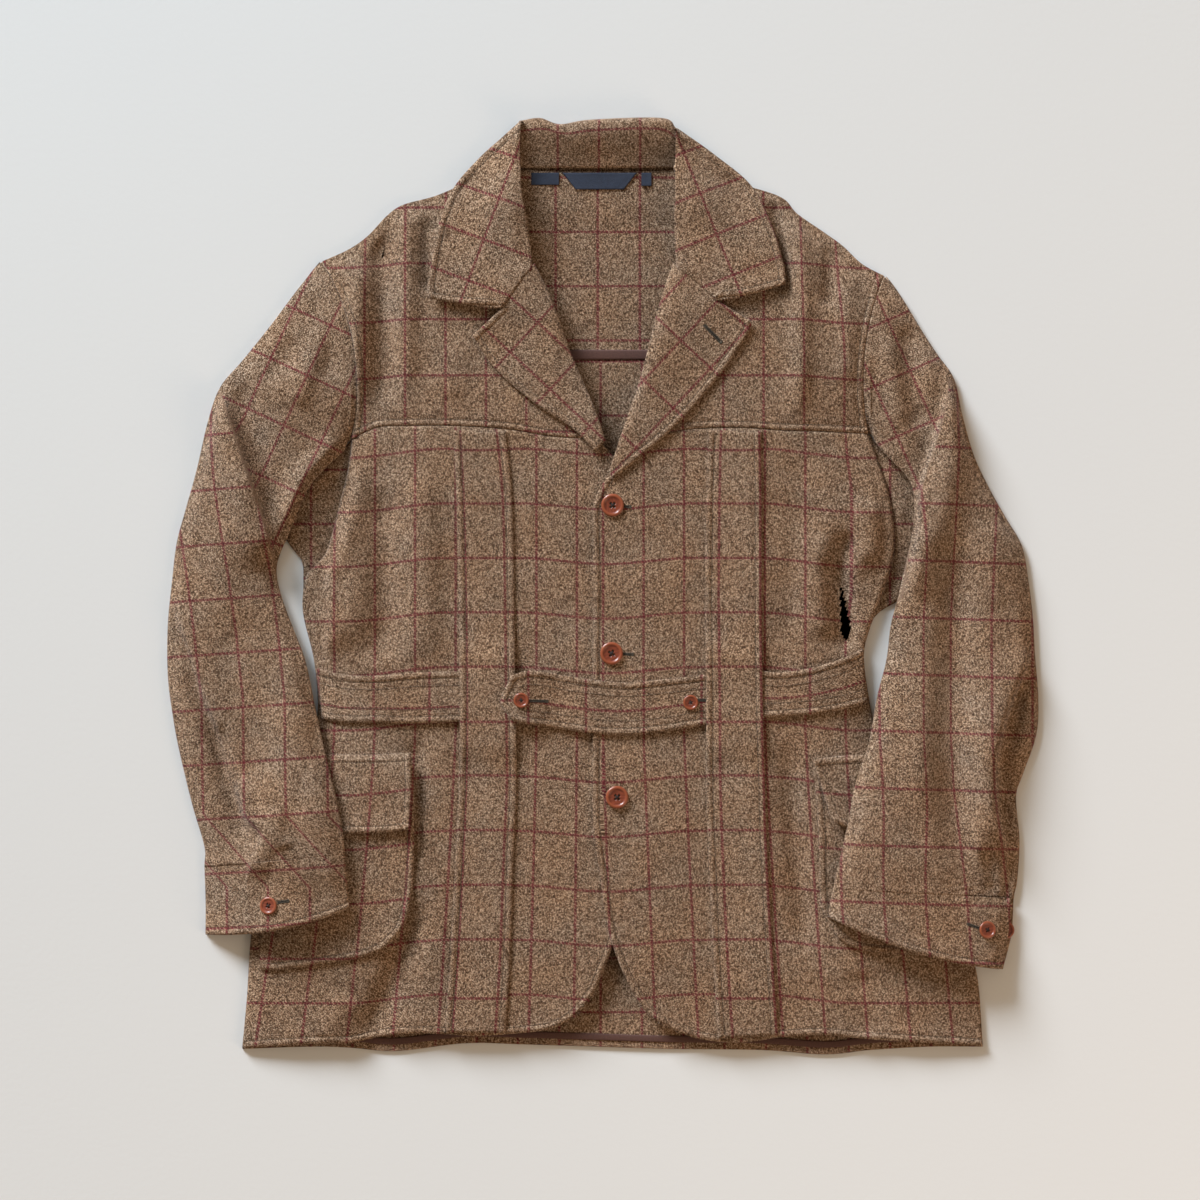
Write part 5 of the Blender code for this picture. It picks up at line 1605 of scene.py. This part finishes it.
BUTTON_RINGS = (  # out and up, as parts of the radius, from the face's middle
    (0.0, 0.175), (0.20, 0.176), (0.40, 0.180), (0.56, 0.186), (0.655, 0.192), (0.69, 0.215),
    (0.725, 0.262), (0.77, 0.294), (0.83, 0.304), (0.89, 0.296), (0.945, 0.268), (0.985, 0.222),
    (1.0, 0.170), (0.985, 0.115), (0.94, 0.052), (0.88, 0.010), (0.82, 0.0), (0.0, 0.0),
)
BUTTON_STEPS = 48


def button_seat(look, x, y, radius):
    """A button's place: on the plane of the cloth under its rim, part way over its bumps."""
    ring = []
    for k in range(16):
        angle = 2 * math.pi * k / 16
        hit, _ = look(x + 0.86 * radius * math.cos(angle), y + 0.86 * radius * math.sin(angle))
        if hit is not None:
            ring.append(tuple(hit))
    ring = np.array(ring)
    flat = np.column_stack([ring[:, :2] - (x, y), np.ones(len(ring))])
    fit = np.linalg.lstsq(flat, ring[:, 2], rcond=None)[0]
    base = fit[2] + 0.15 + max(0, (ring[:, 2] - flat @ fit).max() * 0.6)
    tilt = Vector((-fit[0], -fit[1], 1)).normalized().to_track_quat("Z", "Y")
    return Matrix.Translation(Vector((x, y, base))) @ tilt.to_matrix().to_4x4()


def build_buttons():
    """Each button, and two threads through each pair of its holes."""
    material = button_material()
    thread = thread_material("button thread", DARK_THREAD_AND_SLIT_SHADE)
    sewn = []
    for node, x, y, radius, under in BUTTONS:
        place = button_seat(on_piece(under), x, y, radius)
        piece = turned_button(node + "_turned", radius, place, material)
        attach(piece, "root")
        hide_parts(node)
        out = BUTTON_HOLE_OUT * radius
        angles = [math.pi / 4 * (2 * k + 1) for k in range(4)]
        holes = [Vector((out * math.cos(a), out * math.sin(a), 0.185 * radius)) for a in angles]
        for a, b in ((0, 2), (1, 3)):
            for shift in (-0.18, 0.18):
                side = Vector((shift, -shift if a == 0 else shift, 0))
                ends = [place @ (holes[k] * 0.95 + side) for k in (a, b)]
                sewn.append(bar(ends, 0.3 * radius / 10 + 0.1, 6, 0.7))
    joined("button_threads", sewn, thread)


def turned_button(name, radius, place, material):
    """A dished face with a raised rounded rim, and four holes right through."""
    mesh = bpy.data.meshes.new(name)
    bm = bmesh.new()
    rim_highlight_layer = bm.verts.layers.float.new("rim")
    rings = []
    for out, up in BUTTON_RINGS:
        ring = []
        for k in range(BUTTON_STEPS if out else 1):
            angle = 2 * math.pi * k / BUTTON_STEPS
            v = bm.verts.new(Vector((out * math.cos(angle), out * math.sin(angle), up)) * radius * MM)
            # How far onto the raised rim, where the button's material paints a highlight
            v[rim_highlight_layer] = float(smooth((out - 0.68) / 0.12))
            ring.append(v)
        rings.append(ring)
    for a, b in zip(rings, rings[1:]):
        for k in range(BUTTON_STEPS):
            n = (k + 1) % BUTTON_STEPS
            corners = [a[k % len(a)], b[k % len(b)], b[n % len(b)], a[n % len(a)]]
            bm.faces.new(list(dict.fromkeys(corners)))
    bmesh.ops.recalc_face_normals(bm, faces=bm.faces[:])
    bm.to_mesh(mesh)
    bm.free()
    mesh.shade_smooth()
    mesh.materials.append(material)
    piece = in_scene(name, mesh)
    middle = Matrix.Translation(place.to_translation() * MM)
    turn = place.to_quaternion().to_matrix().to_4x4()
    piece.matrix_world = Matrix.Translation(SHIFT) @ middle @ turn
    cut_mesh = bpy.data.meshes.new(name + "_drill")
    bm = bmesh.new()
    for k in range(4):
        angle = math.pi / 4 * (2 * k + 1)
        at = Vector((math.cos(angle), math.sin(angle), 0)) * BUTTON_HOLE_OUT * radius * MM
        wide = BUTTON_HOLE * radius * MM
        bmesh.ops.create_cone(
            bm, cap_ends=True, segments=14, radius1=wide, radius2=wide, depth=radius * MM,
            matrix=Matrix.Translation(at),
        )
    bm.to_mesh(cut_mesh)
    bm.free()
    drill = in_scene(name + "_drill", cut_mesh)
    drill.matrix_world = piece.matrix_world
    bpy.context.view_layer.update()
    holes = piece.modifiers.new("holes", "BOOLEAN")
    holes.object = drill
    holes.solver = "EXACT"
    depsgraph = bpy.context.evaluated_depsgraph_get()
    made = bpy.data.meshes.new_from_object(piece.evaluated_get(depsgraph))
    piece.modifiers.clear()
    piece.data = made
    bpy.data.objects.remove(drill)
    return piece


def light(name, place, aim, size, power, colour):
    lamp = bpy.data.lights.new(name, "AREA")
    lamp.shape = "RECTANGLE"
    lamp.size, lamp.size_y = size
    lamp.energy = power
    lamp.color = colour
    item = in_scene(name, lamp)
    item.location = place
    item.rotation_euler = (Vector(aim) - Vector(place)).to_track_quat("-Z", "Y").to_euler()


FAR = 12.0  # half of the floor's width, in metres
FLOOR_Z = -0.0002  # just under the jacket, in metres


def build_room():
    mesh = bpy.data.meshes.new("floor")
    corners = [(-FAR, -FAR, 0), (FAR, -FAR, 0), (FAR, FAR, 0), (-FAR, FAR, 0)]
    mesh.from_pydata(corners, [], [(0, 1, 2, 3)])
    mesh.materials.append(floor_material())
    floor = in_scene("floor", mesh)
    floor.location.z = FLOOR_Z
    sky = bpy.data.lights.new("window", "SUN")
    sky.energy = 5.7
    sky.angle = math.radians(21)
    sky.color = (0.80, 0.85, 0.90)
    item = in_scene("window", sky)
    item.rotation_euler = Vector((0.54, -0.77, -0.35)).to_track_quat("-Z", "Y").to_euler()
    light("lamp", (2.2, -1.8, 1.5), (0.1, -0.2, 0), (1.6, 1.6), 24, (1.0, 0.72, 0.50))
    light("open door", (-1.0, 1.9, 1.3), (-0.1, 0.2, 0), (1.2, 1.0), 18, (0.45, 0.75, 1.0))
    world = bpy.data.worlds.new("room")
    world.use_nodes = True
    background = world.node_tree.nodes["Background"]
    background.inputs[0].default_value = (1.0, 0.80, 0.58, 1)
    background.inputs[1].default_value = 0.34
    bpy.context.scene.world = world


CAMERA_UP = 6.0  # metres over the floor
VIEW_WIDE = 1.08  # metres of floor across the picture
VIEW_X, VIEW_Y = -2.25, -12.15  # the picture's middle, in millimetres
SENSOR = 36.0


def build_camera():
    camera = in_scene("camera", bpy.data.cameras.new("camera"))
    camera.location = (VIEW_X * MM + SHIFT.x, VIEW_Y * MM + SHIFT.y, CAMERA_UP)
    camera.data.sensor_width = SENSOR
    camera.data.lens = SENSOR * CAMERA_UP / VIEW_WIDE
    camera.data.clip_end = 10 * CAMERA_UP
    bpy.context.scene.camera = camera


TWEED = tweed_material()
TAPE_CLOTH = tape_material()
LABEL_CLOTH = label_material()
build_room()
build_back()
build_fronts()
build_pleats()
build_belt()
build_pockets()
build_lapels()
build_collar()
build_collar_back()
build_sleeves()
build_bindings()
build_labels()
build_topstitching()
build_buttonholes()
build_buttons()
build_camera()
bpy.context.scene.view_settings.view_transform = "Standard"
